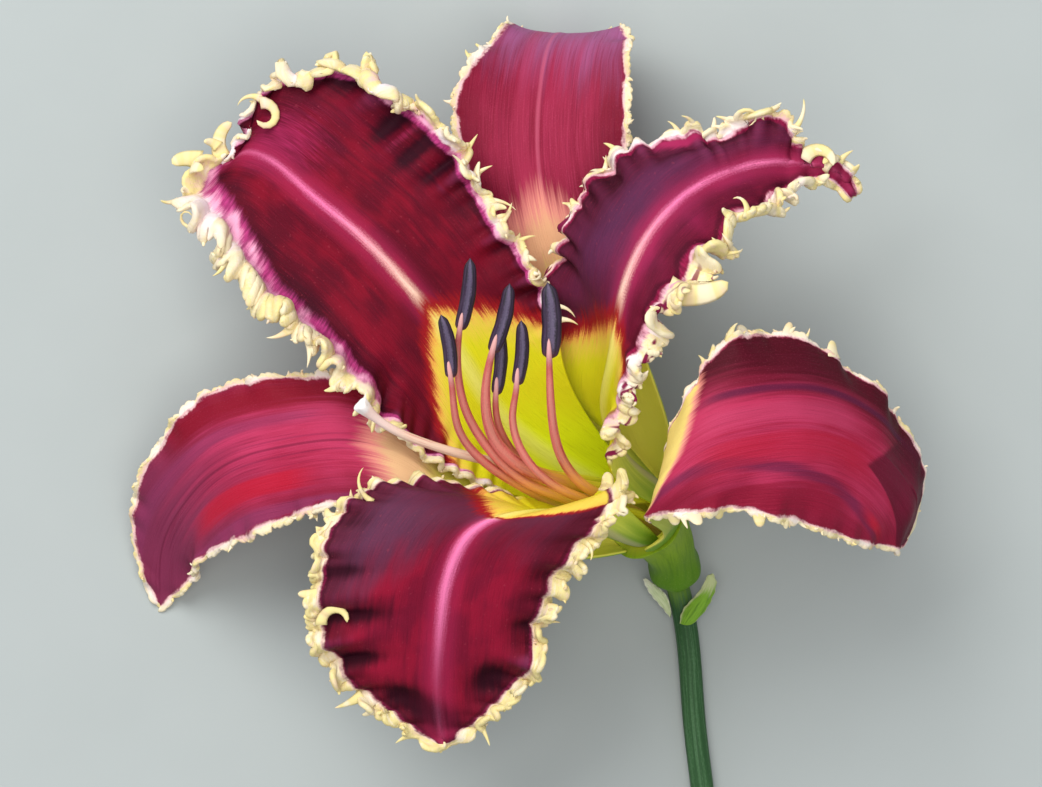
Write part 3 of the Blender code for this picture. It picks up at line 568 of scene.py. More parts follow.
    grid = joined(bands[-1]["points"], points, bands[1]["points"])
    steps = np.linalg.norm(np.diff(points, axis=1), axis=2)
    inward = np.concatenate([np.zeros((count, 1)), np.cumsum(steps, axis=1)], axis=1)
    from_rib = inward - inward[:, len(columns) - 1, None]
    across_mm = joined(
        from_rib[:, :1] - bands[-1]["distance"], from_rib, from_rib[:, -1:] + bands[1]["distance"]
    )
    from_edge = -np.where(across < 0, inward, inward[:, -1:] - inward)
    edge_mm = joined(bands[-1]["distance"], from_edge, bands[1]["distance"])
    is_left = across_mm < 0

    def by_side(key):
        return np.where(is_left, parts[-1][key][:, None], parts[1][key][:, None])

    fleshy = style["edge_thickness"] + 0.04 * by_side("band") - style["thickness"]
    half = style["thickness"] / 2 + fleshy / 2 * smooth_step((edge_mm + 1.5) / 2.5) * by_side("fringed")
    half = half * joined(bands[-1]["swell"], np.ones_like(across), bands[1]["swell"])
    lumps = np.sin(across_mm * 2.9 + 3 * np.sin(rise * 1.3)[:, None]) * np.sin(rise * 4.1)[:, None]
    half = half * (1 + 0.16 * lumps * smooth_step((edge_mm + 1.5) / 2.5))

    # the midrib stands up in a shallow gutter and thins out towards the tip
    rib_width = np.interp(places, (0, 0.3, 1), style["rib_width"])[:, None]
    tall = style["rib_height"] * np.interp(places, (0, 0.1, 0.85, 1), (0, 1, 0.8, 0))[:, None]
    aside = np.abs(across_mm)
    groove = np.exp(-(((aside - 2.2 * rib_width) / rib_width) ** 2))
    ridge = tall * (np.exp(-((aside / rib_width) ** 2)) - 0.45 * groove)
    faces_up = upward(grid)
    upper = grid + faces_up * (half + ridge)[..., None]
    lower = grid - faces_up * (half + 0.8 * np.maximum(ridge, 0))[..., None]
    upper[..., 2] = np.maximum(upper[..., 2], 2 * FLOOR_CLEARANCE)
    lower[..., 2] = np.maximum(lower[..., 2], FLOOR_CLEARANCE)
    inner_ends = {hand: np.interp(places, (0.47, 0.6), tepal["blend"][hand][:2])[:, None] for hand in (-1, 1)}
    inside = np.where(is_left, inner_ends[-1], inner_ends[1])
    outside = np.where(is_left, tepal["blend"][-1][2], tepal["blend"][1][2])
    marks = {
        "along": rise[:, None] + 0 * across_mm,
        "across": across_mm,
        "edge": (edge_mm + inside) * 3.7 / (inside + outside * by_side("band")) - 2.4,
        "inset": edge_mm,
        "tint": joined(np.zeros_like(bands[-1]["distance"]), tint, np.zeros_like(bands[1]["distance"])),
        "travel": by_side("travel"),
        "blush": by_side("blush"),
        "fringe": by_side("fringed"),
        "fold": joined(
            np.zeros_like(bands[-1]["distance"]), folds + 0.4 * swings, np.zeros_like(bands[1]["distance"])
        ),
    }
    return [sheet_block(upper, lower, marks), *blocks]


class Reading:
    """A number that varies over a surface. Python's operators on it add Math nodes to its finish."""

    def __init__(self, finish, socket):
        self.finish = finish
        self.socket = socket

    def worked(self, operation, *terms):
        node = self.finish.node("ShaderNodeMath", {"operation": operation}, dict(enumerate(terms)))
        return Reading(self.finish, node.outputs[0])

    def __add__(self, other):
        return self.worked("ADD", self, other)

    def __radd__(self, other):
        return self.worked("ADD", other, self)

    def __sub__(self, other):
        return self.worked("SUBTRACT", self, other)

    def __rsub__(self, other):
        return self.worked("SUBTRACT", other, self)

    def __mul__(self, other):
        return self.worked("MULTIPLY", self, other)

    def __rmul__(self, other):
        return self.worked("MULTIPLY", other, self)

    def __truediv__(self, other):
        return self.worked("DIVIDE", self, other)

    def __abs__(self):
        return self.worked("ABSOLUTE", self)

    def between(self, low, high):
        """0 up to low, 1 from high on, and smooth between them."""
        inputs = {0: self, 1: low, 2: high}
        made = self.finish.node("ShaderNodeMapRange", {"interpolation_type": "SMOOTHSTEP"}, inputs)
        return Reading(self.finish, made.outputs[0])

    def until(self, low, high):
        """1 up to low, 0 from high on, and smooth between them."""
        return 1 - self.between(low, high)


class Finish:
    """A material: a Principled shader, the marks of the mesh, and one method for every other node."""

    def __init__(self, name, **uniform):
        self.material = bpy.data.materials.new(name)
        self.material.use_nodes = True
        self.tree = self.material.node_tree
        self.shader = self.tree.nodes["Principled BSDF"]
        for socket, value in uniform.items():
            self.feed(self.shader.inputs[socket.replace("_", " ")], value)

    def node(self, kind, settings, inputs):
        made = self.tree.nodes.new(kind)
        for setting, value in settings.items():
            setattr(made, setting, value)
        for key, value in inputs.items():
            self.feed(made.inputs[key], value)
        return made

    def feed(self, socket, value):
        if isinstance(value, Reading):
            value = value.socket
        if isinstance(value, bpy.types.NodeSocket):
            self.tree.links.new(value, socket)
        elif socket.type == "RGBA" and len(value) == 3:
            socket.default_value = (*value, 1)
        else:
            socket.default_value = value

    def marks(self, names):
        """The values of these names that the mesh carries at each of its points."""
        made = [self.node("ShaderNodeAttribute", {"attribute_name": name}, {}) for name in names.split()]
        return [Reading(self, attribute.outputs["Fac"]) for attribute in made]

    def cloud(self, x, y, z=0.0, detail=2.0, roughness=0.5):
        """Smooth noise from about 0.3 to 0.7, with a grain of 1 in these coordinates."""
        where = self.node("ShaderNodeCombineXYZ", {}, {0: x, 1: y, 2: z}).outputs[0]
        inputs = {"Vector": where, "Scale": 1.0, "Detail": detail, "Roughness": roughness}
        return Reading(self, self.node("ShaderNodeTexNoise", {}, inputs).outputs[0])

    def layered(self, colour, *layers):
        """The colour that shows under these layers, each of them a colour and its share over the last."""
        for over, share in layers:
            inputs = {0: share, 6: colour, 7: over}
            colour = self.node("ShaderNodeMix", {"data_type": "RGBA"}, inputs).outputs[2]
        return colour

    def finish_with(self, colour, roughness=None, relief=None, depth=0.0002):
        self.feed(self.shader.inputs["Base Color"], colour)
        if roughness is not None:
            self.feed(self.shader.inputs["Roughness"], roughness)
        if relief is not None:
            bump = self.node("ShaderNodeBump", {}, {"Height": relief, "Distance": depth, "Strength": 1.0})
            self.feed(self.shader.inputs["Normal"], bump.outputs[0])
        return self.material


CREAM = (0.86, 0.73, 0.47)
PEACH = (0.87, 0.6, 0.47)
BUTTER = (0.8, 0.66, 0.28)
PINK = (0.84, 0.38, 0.52)


def pale_margin(finish, edge, travel, blush, grain, yellow, magenta, rosy, spots=0.0):
    """The pale margin's colours from magenta inside to pink and cream, and how far out each point is."""
    combed = finish.cloud(travel * 2.2, edge * 0.4, 0.0, 3.0, 0.65)
    broad = finish.cloud(travel * 0.5, edge * 0.3, 5.0)
    frayed = edge + (combed - 0.5) * 1.8 + (broad - 0.5) * 2.6 + (grain - 0.5) * 0.8 - blush * 0.8
    pale = finish.layered(
        CREAM,
        (BUTTER, (grain + (broad - 0.5) * 2.5 + blush * 0.3 + yellow).between(0.35, 0.75)),
        (PEACH, (combed + (broad - 0.5)).between(0.5, 0.75) * 0.5),
        ((0.9, 0.76, 0.74), (broad - blush * 0.4).between(0.5, 0.75) * frayed.until(2, 5) * rosy),
    )
    pinker = (blush + (combed - 0.5) * 2).between(0.35, 1.3) * frayed.until(1.6, 3.6)
    pale = finish.layered(pale, (PINK, pinker * rosy))
    patch = finish.cloud(travel * 0.22, edge * 0.32, 9.0, 1.0)
    spotted = patch.between(0.52, 0.58) * frayed.until(3.6, 4.4) * spots
    pale = finish.layered(pale, ((0.2, 0.012, 0.05), spotted))
    soft_pink = tuple(rosy * own + (1 - rosy) * cream for own, cream in zip(PINK, CREAM))
    deeper = tuple(0.6 * own for own in magenta)
    streaked = finish.layered(deeper, (magenta, combed.between(0.36, 0.64)))
    washed = frayed + (patch - 0.5) * (7 * rosy)
    pink = finish.layered(streaked, (soft_pink, washed.between(-1.4, 0.8)))
    return finish.layered(pink, (pale, frayed.between(0.0, 1.3))), frayed


def petal_finish(
    name, seed, throat, slopes, frays, rib, rib_cream, rib_fade, crimson, wine, sky_sheen, sky_sheen_zone, edging
):
    """Velvety wine red over a lime and yellow throat, a pink midrib, and a margin that pales to cream."""
    finish = Finish(name, Specular_IOR_Level=0.06)
    along, across, edge, inner, fringe = finish.marks("along across edge inner fringe")
    travel, blush, fold, tint, inset = finish.marks("travel blush fold tint inset")
    aside = abs(across)
    streaks = finish.cloud(across * 0.9, along * 0.05, seed, 3.0, 0.55)
    fine = finish.cloud(across * 4.5, along * 0.22, seed + 3, 2.0, 0.6)
    blotch = finish.cloud(across * 0.14, along * 0.1, seed + 7)
    grain = finish.cloud(across * 3.5, along * 3.5, seed + 11, 3.0, 0.7)
    specks = finish.cloud(across * 1.4, along * 1.4, seed + 13, 1.0)

    body = finish.layered(crimson, (wine, (streaks * 0.6 + 0.2 + (blotch - 0.5) * 1.4).between(0.3, 0.72)))
    # painted sky sheen: a purple reflection painted over the parts of the blade that face the light
    bluish = finish.cloud(across * 0.4, along * 0.12, seed + 17)
    lengthwise, crosswise, outwards, start = sky_sheen_zone
    painted_light_share = (bluish - 0.5) * 8 + along * lengthwise + across * crosswise + aside * outwards + start
    body = finish.layered(
        body,
        # the painted sky sheen
        (sky_sheen, painted_light_share.between(-4, 6) * 0.8),
        # painted shade: darker towards the ruffled margin, then a painted shadow line just inside the pale
        # band where it rolls over
        ((0.085, 0.004, 0.012), (inset + (blotch - 0.5) * 10).between(-9, -2) * 0.65),
        ((0.04, 0.003, 0.01), edge.between(-4.4, -2.8) * 0.55),
        # painted highlight on the crests of the pleats and ruffles, painted shade in their hollows
        ((0.3, 0.045, 0.13), (fold + (bluish - 0.5)).between(0.2, 1.3) * 0.4),
        ((0.035, 0.003, 0.009), (0 - fold + (streaks - 0.5)).between(0.05, 1) * 0.85),
        ((0.36, 0.012, 0.04), (fine - 0.5 + (grain - 0.5) * 0.4).between(0.02, 0.25) * 0.14),
        ((0.05, 0.003, 0.01), fine.until(0.32, 0.5) * 0.14),
        ((0.5, 0.07, 0.1), specks.between(0.68, 0.76) * 0.15),
        ((0.4, 0.05, 0.12), grain.between(0.54, 0.75) * 0.12),
    )

    # the midrib's pink line, cream near the throat, with paler red on both sides
    body = finish.layered(
        body,
        ((0.44, 0.024, 0.09), aside.until(0.5, 4.5) * 0.5),
        # the swells' painted light: painted highlight and sheen where positive, painted shade in the hollows
        # where negative
        ((0.36, 0.02, 0.085), (tint + (fine - 0.5)).between(0.15, 1.15)),
        ((0.022, 0.003, 0.008), (0 - tint + (streaks - 0.5) * 0.5).between(0.15, 1) * 0.85),
    )
    rib_edge = aside + (grain - 0.5) * 1.4 + (fine - 0.5) - rib * (1.5 - along / 80)
    cream = along.until(throat, throat + rib_cream)
    rib_colour = finish.layered((0.9, 0.2, 0.4), ((0.9, 0.6, 0.42), cream))
    fading = 1 - along.between(*rib_fade) * 0.88
    body = finish.layered(body, (rib_colour, rib_edge.until(-0.9, 0.9) * fading))

    # the throat's edge is ragged: red and orange veins run out of the yellow
    slope = slopes[0] + (slopes[1] - slopes[0]) * across.between(-0.5, 0.5)
    noise = (streaks - 0.5) * 5 + (fine - 0.5) * 5 + (grain - 0.5) * 3
    fray = frays[0] + (frays[1] - frays[0]) * across.between(0, 5)
    ragged = along - throat + aside * slope + noise * fray
    body = finish.layered(
        body,
        ((0.1, 0.004, 0.012), ragged.until(4, 16) * aside.between(1, 4) * 0.5),
        ((0.3, 0.009, 0.012), ragged.until(fray, 5 * fray)),
        ((0.74, 0.26, 0.06), ragged.until(-1.5 * fray, 1.2 * fray)),
    )
    deep = finish.layered((0.8, 0.9, 0.012), ((0.7, 0.64, 0.012), ragged.between(-34, -14)))
    golden = finish.layered(
        deep,
        ((0.8, 0.52, 0.08), ragged.between(-9, -1) * 0.9),
        ((0.85, 0.78, 0.26), aside.until(0.2, 2.6) * 0.45),
        ((0.52, 0.56, 0.01), fine.until(0.3, 0.5) * 0.3),
    )
    body = finish.layered(body, (golden, ragged.until(-3 * fray, 0.2 * fray)))

    yellow, magenta, rosy, spotted = edging
    spots = along.until(62, 74) * spotted
    margin, frayed = pale_margin(finish, edge, travel, blush, grain, yellow, magenta, rosy, spots)
    in_throat = ragged.until(-12, -3) * frayed.until(-0.5, 0.5)
    rim = (edge * 0.6 + frayed * 0.4).between(-2.4, -1.2) * (1 - in_throat) * fringe.between(0.2, 0.8)
    body = finish.layered(body, (margin, rim))

    # the outer face is duller, with a green base and a pale midrib
    back = finish.layered(
        (0.2, 0.37, 0.025),
        ((0.88, 0.9, 0.12), (along + (streaks - 0.5) * 12).between(1, 24)),
        ((0.4, 0.09, 0.1), (along + (streaks - 0.5) * 24).between(24, 50)),
        ((0.6, 0.5, 0.3), aside.until(0.5, 1.8) * 0.6),
        (margin, frayed.between(-2.2, -0.6) * fringe.between(0.2, 0.8)),
    )
    relief = streaks * 0.3 + fine * 0.35 + grain * 0.25
    both = finish.layered(back, (body, inner))
    return finish.finish_with(both, 0.58 - 0.16 * frayed.between(-0.5, 0.8), relief, 0.0003)


# How finely a petal is drawn (ribs and columns of points), and how its midrib, its waves (their lengths, then
# their heights), its lobes, the notches between them, its teeth and its thickness measure.
PETAL_STYLE = {
    "ribs": 500,
    "solid_ribs": 58,
    "columns": 20,
    "band_columns": 14,
    "rib_width": (1.6, 1.1, 0.6),
    "rib_height": 0.4,
    "swing": ((10.5, 7.3), (1.5, 0.9)),
    "pleats": ((4.9, 3.5), (0.5, 0.4)),
    "pleat_reach": 10,
    "lobe": (2.4, 6),
    "notch": (0.9, 2.2),
    "lip": 0.4,
    "tooth_gap": (1.1, 2.6),
    "tooth_width": (0.9, 1.7),
    "thickness": 0.6,
    "edge_thickness": 1.0,
}
# Each petal's seed, where its throat ends, how that slopes and frays on each side; the midrib's width, how
# long it stays cream and where it fades; crimson, wine, the purple of the painted sky sheen and where that
# painted sheen lies (along, across, aside, constant); the margin: how yellow, its inner colour, how pink and
# how spotted.
PETAL_LOOKS = {
    "petal_upper_left": (
        1.0, 54.5, (1.15, 0.85), (0.9, 0.9), 0.85, 28, (80, 116), (0.2, 0.004, 0.016), (0.1, 0.003, 0.012),
        (0.1, 0.009, 0.032), (0.1, 0.12, 0, -12), (0.05, (0.5, 0.05, 0.2), 1.0, 0.0),
    ),
    "petal_upper_right": (
        21.0, 49, (0.7, 1.0), (1.1, 0.8), 0.8, 26, (86, 112), (0.25, 0.012, 0.055), (0.16, 0.011, 0.042),
        (0.075, 0.021, 0.06),
        (0, -0.8, 0.1, 0), (0.08, (0.3, 0.012, 0.06), 0.8, 1.0),
    ),
    "petal_lower": (
        41.0, 43.7, (0.15, 0.7), (0.18, 0.7), 1.1, 1, (58, 84), (0.29, 0.008, 0.03), (0.19, 0.007, 0.026),
        (0.085, 0.035, 0.072),
        (-0.7, 0.2, 0.4, 33), (0.25, (0.2, 0.012, 0.05), 0.35, 0.25),
    ),
}
for name, petal in PETALS.items():
    piece = joined_object(f"{name}_fringed", tepal_blocks(name, petal, PETAL_RING, PETAL_STYLE))
    piece.data.materials.append(petal_finish(f"{name}_velvet", *PETAL_LOOKS[name]))
    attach(piece, "root")
    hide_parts(name)

# The three sepals are the outer tepals: narrower, smoother blades with fine lengthwise veins and a thin
# pale edge. They grew on the tube's rim outside the petals and bend back; two of them carry the bloom on
# their tips.
SEPAL_RING = 7.2
SEPAL_EDGE = {
    "blend": {-1: (0.5, 0.5, 0.5), 1: (0.5, 0.5, 0.5)},
    "sway": 1,
    "ruffles": {-1: (9, 0.3, 15), 1: (9, 0.3, 15)},
}
SEPALS = {
    "sepal_top": {
        "round": 95,
        "flare": 38,
        "rows": (
            (1.6, 5.5, 24.5, 12.5, 9.1, 27, 22.5, 6, 33.5, 0, 0),
            (-3, 20, 29, 8, 21, 31.5, 18.5, 20, 33, 0, 0),
            (-8, 33, 30, 4.5, 33, 32, 18.5, 33, 33, 0, 0),
            (-12, 46, 30, 3, 44, 31, 19.8, 46, 33, 0, 0),
            (-11.5, 57, 28, 3.5, 55, 28, 20, 57, 31, 0, 0),
            (-5, 65, 20, 5.5, 63.7, 20, 20.3, 65, 25, 0, 0),
            (-1, 66.5, 10, 8, 65, 9, 17, 65.5, 11, 0, 0),
            (6, 63, 0.3, 9, 62, 0.3, 12, 63, 0.3, 0, 0),
        ),
        "fringe_from": {-1: 0.3, 1: 0.3},
        "margins": {
            -1: (
                (0.3, 0.6, 0, 0, 20, 0.3), (0.45, 1, 0, 10, 30, 0.6), (0.6, 1.6, 0, 20, 40, 1),
                (0.75, 1.5, 0, 20, 40, 0.9), (1, 1, 0, 20, 30, 0.5),
            ),
            1: (
                (0.3, 0.6, 0, 0, 20, 0.3), (0.45, 1, 0, 10, 30, 0.6), (0.6, 1.5, 0, 20, 40, 0.9),
                (0.75, 1.4, 0, 20, 40, 0.8), (1, 1, 0, 20, 30, 0.5),
            ),
        },
        "swells": (),
        "hooks": ((-1, 0.66, 2.6, 1.4, 0, 50), (-1, 0.74, 3, 1.5, 0, 60), (1, 0.62, 2.6, 1.3, 0, 40)),
    },
    "sepal_left": {
        "round": 215,
        "flare": 30,
        "rows": (
            (-1.6, -28, 49.9, -9.2, -21.2, 42.2, -10.1, -10.5, 35.2, 0, 0),
            (-17, -24, 46, -20, -12, 41, -25, -1, 33, 0, 0),
            (-29, -21, 41, -31, -8.5, 37.5, -34, 4, 30, 0, 0),
            (-40, -23, 34, -42, -9.5, 32.5, -46, 3.5, 26, 0, 0),
            (-50, -27, 26, -52.5, -12.5, 26, -58, 0, 21, 0, 0),
            (-58, -31.3, 15, -61, -20, 16, -68, -11.5, 14, 0, 0),
            (-60, -35, 6, -65.5, -29, 6, -71.3, -24.5, 6, 0, 0),
            (-63.5, -37.5, 0.4, -66, -38.5, 0.3, -68, -37, 0.4, 0, 0),
        ),
        "fringe_from": {-1: 0.3, 1: 0.3},
        "margins": {
            -1: (
                (0.3, 0.6, 0, 0, 20, 0.3), (0.42, 1.4, 0, 20, 40, 0.9), (0.55, 2.2, 0, 30, 40, 1.1),
                (0.65, 1.6, 0, 20, 40, 0.8), (1, 1, 0, 20, 30, 0.5),
            ),
            1: (
                (0.3, 0.6, 0, 0, 20, 0.3), (0.38, 1.2, 0, 10, 30, 0.6), (0.45, 2.4, 0, 20, 40, 1),
                (0.6, 1.4, 0, 20, 40, 0.7), (1, 1.1, 0, 20, 30, 0.5),
            ),
        },
        "swells": (),
        "hooks": ((1, 0.46, 3, 2, 40, 20), (-1, 0.545, 2.4, 1.6, 0, 30), (-1, 0.7, 2.6, 1.4, 0, 20)),
    },
    "sepal_right": {
        "round": 335,
        "flare": 27,
        "rows": (
            (29.5, -17.5, 38, 27.5, -22.3, 41.5, 25.5, -26, 40.5, 0, 0),
            (26.5, -9, 52, 24, -17.7, 56.5, 22.5, -22.5, 55, 0, 0),
            (30.5, 2, 56, 31.5, -9, 61, 30, -22.5, 58, 0, 0),
            (35, 9, 56, 40, -6, 60, 38, -21.5, 57, 0, 0),
            (45, 11.5, 51, 49.5, -5, 56, 48, -23.5, 52, 0, 0),
            (56.5, 6.3, 45, 58.5, -7, 49, 56, -26, 46, 0, 0),
            (66, -1.5, 38, 66, -12, 42, 62, -28, 40, 0, 0),
            (72, -12, 31, 70.5, -19, 34, 66, -28.5, 35, 0, 0),
            (72, -21, 27, 69.5, -26, 28, 67.5, -29, 30, 0, 0),
        ),
        "fringe_from": {-1: 0.22, 1: 0.22},
        "margins": {
            -1: (
                (0.25, 0.7, 0, 0, 20, 0.3), (0.4, 1.1, 0, 10, 30, 0.6), (0.5, 1.4, 0, 20, 40, 1.2),
                (0.62, 1.2, 0, 20, 40, 1), (1, 1, 0, 20, 30, 0.5),
            ),
            1: (
                (0.25, 0.8, 0, 0, 20, 0.5), (0.36, 1.8, 0, 20, 50, 1), (0.5, 1.4, 0, 20, 40, 0.8),
                (0.7, 1.1, 0, 20, 30, 0.6), (1, 0.9, 0, 20, 30, 0.4),
            ),
        },
        "swells": ((0.84, -0.4, 5, 6, -1.2, 0), (0.9, 0.3, 4, 4, 1, 0)),
        "hooks": (
            (-1, 0.44, 2.4, 1.2, 0, -40), (-1, 0.5, 3.8, 1.8, 0, 60), (-1, 0.53, 3.4, 3.2, 0, 20),
            (-1, 0.57, 2.6, 1.1, 0, -90), (-1, 0.6, 3, 2.4, 0, 20), (-1, 0.68, 3.4, 3, 0, 20),
            (1, 0.36, 2.8, 3, 0, 0), (1, 0.4, 3, 3.2, 20, 0), (1, 0.45, 2.6, 2.6, 0, 10),
            (1, 0.52, 2.8, 2.8, 0, 10), (1, 0.57, 2.2, 1.9, 0, 0),
        ),
    },
}


def sepal_finish(name, seed, base, slopes, fray, pale, rose, red, shade, shade_zone, bands, crease=None):
    """Rose red with fine parallel veins, peach and yellow at the base, and a narrow cream edge."""
    finish = Finish(name, Specular_IOR_Level=0.08)
    along, across, edge, inner, fringe = finish.marks("along across edge inner fringe")
    travel, blush, inset = finish.marks("travel blush inset")
    aside = abs(across)
    streaks = finish.cloud(across * 0.8, along * 0.03, seed, 3.0, 0.6)
    fine = finish.cloud(across * 3.6, along * 0.08, seed + 3, 2.0, 0.6)
    blotch = finish.cloud(across * 0.12, along * 0.06, seed + 7)
    grain = finish.cloud(across * 3.5, along * 3.5, seed + 11, 3.0, 0.7)
    body = finish.layered(
        rose,
        (red, (streaks * 0.7 + 0.15 + (blotch - 0.5) * 0.9).between(0.3, 0.72)),
        ((0.17, 0.006, 0.02), (inset + (blotch - 0.5) * 8).between(-7, -0.5) * 0.7),
    )
    lighter = (fine + (grain - 0.5) * 0.3).between(0.5, 0.72) * inset.until(-7, -2)
    body = finish.layered(body, ((0.56, 0.06, 0.14), lighter * 0.25))
    # painted light: painted shade over the right sepal's upper side and the left sepal's tip, a painted lilac
    # sheen where the top sepal bends back
    painted_light_share = along * shade_zone[0] + across * shade_zone[1] + shade_zone[2] + (streaks - 0.5) * 10
    body = finish.layered(
        body,
        (shade, painted_light_share.between(-5, 6) * 0.9),
        ((0.15, 0.008, 0.03), fine.until(0.32, 0.47) * 0.3),
    )
    for middle, slant, breadth, first, last, colour, share in bands:
        off = abs(across - middle - (along - 60) * slant + (streaks - 0.5) * breadth * 2)
        here = along.between(first - 6, first + 4) * along.until(last - 4, last + 6)
        body = finish.layered(body, (colour, off.until(breadth * 0.3, breadth * 1.5) * here * share))
    # painted shade along the fold across the sepal's end
    if crease:
        first, middle, steep, flat = crease
        off = across - middle
        slope = abs(off) * ((steep + flat) / 2)
        past = along - first - slope - off * ((steep - flat) / 2) + (grain - 0.5) * 2.5
        body = finish.layered(body, ((0.085, 0.006, 0.018), past.between(-0.9, 0.7) * 0.8))
    slope = slopes[0] + (slopes[1] - slopes[0]) * across.between(-0.5, 0.5)
    ragged = along - base + aside * slope + ((streaks - 0.5) * 8 + (fine - 0.5) * 8) * fray
    body = finish.layered(
        body,
        ((0.74, 0.25, 0.2), ragged.until(-2 * fray, 5 * fray)),
        ((0.6, 0.09, 0.16), grain.between(0.54, 0.75) * 0.2 * ragged.between(0, 8)),
        (pale, ragged.until(-6 * fray, 0)),
        ((0.9, 0.84, 0.12), ragged.until(-18, -9)),
    )
    margin, frayed = pale_margin(finish, edge, travel, blush, grain, 0.0, (0.3, 0.02, 0.06), 0.6)
    body = finish.layered(body, (margin, frayed.between(-1.6, -0.5) * fringe.between(0.2, 0.8)))
    back = finish.layered(
        (0.2, 0.37, 0.025),
        ((0.5, 0.56, 0.09), (along + (streaks - 0.5) * 12).between(1, 20)),
        ((0.42, 0.12, 0.1), (along + (streaks - 0.5) * 24).between(24, 58)),
        (margin, frayed.between(-1.2, -0.2) * fringe.between(0.2, 0.8)),
    )
    relief = streaks * 0.3 + fine * 0.45 + grain * 0.2
    both = finish.layered(back, (body, inner))
    return finish.finish_with(both, 0.5 - 0.1 * frayed.between(-0.5, 0.8), relief, 0.0003)


SEPAL_STYLE = {
    "ribs": 385,
    "solid_ribs": 34,
    "columns": 20,
    "band_columns": 10,
    "rib_width": (1.2, 0.9, 0.6),
    "rib_height": 0.15,
    "swing": ((17, 11), (0.6, 0.35)),
    "pleats": ((5.9, 4.3), (0.2, 0.14)),
    "pleat_reach": 6,
    "lobe": (2, 6),
    "notch": (0.8, 2),
    "lip": 0.25,
    "tooth_gap": (1.3, 3.6),
    "tooth_width": (0.7, 1.3),
    "thickness": 0.6,
    "edge_thickness": 0.75,
}
# Each sepal's seed, where its peach base ends, how that slopes and how frayed it is; the two reds, the colour
# of the painted light (painted shade on the left and right sepals, a painted lilac sheen on the top one) and
# where it lies (along, across, constant); the lengthwise bands (middle, slant, half width, from, to, colour,
# share); and painted shade along a fold across the end.
SEPAL_LOOKS = {
    "sepal_top": (
        61.0, 57, (0.9, 0.9), 1, (0.8, 0.42, 0.22), (0.31, 0.017, 0.052), (0.22, 0.009, 0.03),
        (0.36, 0.11, 0.25), (0.45, 0.1, -38),
        ((0, 0, 0.4, 40, 120, (0.66, 0.14, 0.22), 0.35), (-3, 0, 1.5, 50, 120, (0.42, 0.03, 0.08), 0.4)),
    ),
    "sepal_left": (
        81.0, 56, (0.3, 0.5), 0.7, (0.8, 0.48, 0.24), (0.48, 0.036, 0.1), (0.38, 0.02, 0.06),
        (0.2, 0.028, 0.072), (0.3, 0, -27),
        (
            (0, 0, 0.25, 55, 120, (0.12, 0.008, 0.03), 0.55),
            (-1.6, 0, 0.2, 60, 110, (0.14, 0.01, 0.04), 0.35),
            (1.4, 0, 0.2, 60, 110, (0.14, 0.01, 0.04), 0.35),
            (10.5, 0, 2.8, 50, 95, (0.22, 0.005, 0.016), 0.9),
            (5.5, 0, 1.4, 66, 120, (0.24, 0.035, 0.1), 0.5), (-6, 0, 2, 70, 96, (0.46, 0.009, 0.026), 0.8),
            (-11.5, 0, 1.8, 50, 120, (0.24, 0.035, 0.1), 0.7),
        ),
    ),
    "sepal_right": (
        101.0, 38, (-0.6, 2.1), 0.35, (0.78, 0.58, 0.16), (0.46, 0.03, 0.085), (0.36, 0.016, 0.05),
        (0.05, 0.0025, 0.007), (0.15, -1.3, -17),
        (
            (-6.3, 0, 0.8, 46, 95, (0.08, 0.01, 0.04), 0.75),
            (8.3, 0.2, 1.2, 24, 85, (0.12, 0.016, 0.055), 0.7), (4, 0, 3, 45, 78, (0.44, 0.012, 0.034), 0.6),
            (-2, 0, 2, 45, 75, (0.5, 0.05, 0.12), 0.5), (13.5, 0, 3.2, 30, 72, (0.27, 0.009, 0.031), 0.8),
            (12, 0, 1, 83, 87, (0.6, 0.01, 0.03), 0.9),
        ),
        (79.2, 3.7, 3.65, 1.03),
    ),
}
for name, sepal in SEPALS.items():
    piece = joined_object(
        f"{name}_veined", tepal_blocks(name, {**SEPAL_EDGE, **sepal}, SEPAL_RING, SEPAL_STYLE)
    )
    piece.data.materials.append(sepal_finish(f"{name}_silk", *SEPAL_LOOKS[name]))
    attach(piece, "root")
    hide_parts(name)

# The perianth tube: the fused green foot of all six tepals, fleshy, with six faint ribs outside. Inside
# it is a yellow green well that holds the ovary. It grows on the tip of the stalk.
TUBE_FOOT = np.array([28.2, -33.4, 5])
TUBE_WAY = (
    TUBE_FOOT, (28.15, -32.8, 6), (27.7, -30.2, 10.4), (26.4, -27.1, 15.4), (24.3, -24.2, 20.6),
    TUBE_MOUTH - 0.6 * TUBE_AXIS, TUBE_MOUTH,
)
TUBE_RADII = ((2.4,), (3.8,), (4.5,), (5,), (6.2,), (7.7,), (8,))
WELL_WAY = ((28, -31.8, 7.6), (27.7, -30.2, 10.4), (26.4, -27.1, 15.4), (24.3, -24.2, 20.6), TUBE_MOUTH)
WELL_RADII = ((2.6,), (3.2,), (3.3,), (3.8,), (4.8,))
TUBE_RINGS, TUBE_SIDES, RIM_RINGS = 70, 96, 12


def turns_of(sides):
    return np.linspace(0, math.tau, sides, endpoint=False)


def swept_rings(way, wide, deep, facing=(0, 0, 1)):
    """Rings round a line of points, at [ring][turn], with turns counted from the side that faces this way."""
    ahead = unit(np.gradient(way, axis=0))
    up = unit(np.array(facing, float) - (ahead @ np.array(facing, float))[:, None] * ahead)
    right = np.cross(ahead, up)
    turns = turns_of(wide.shape[1])
    rise = (np.cos(turns) * deep)[..., None] * up[:, None]
    return way[:, None] + rise + (np.sin(turns) * wide)[..., None] * right[:, None]


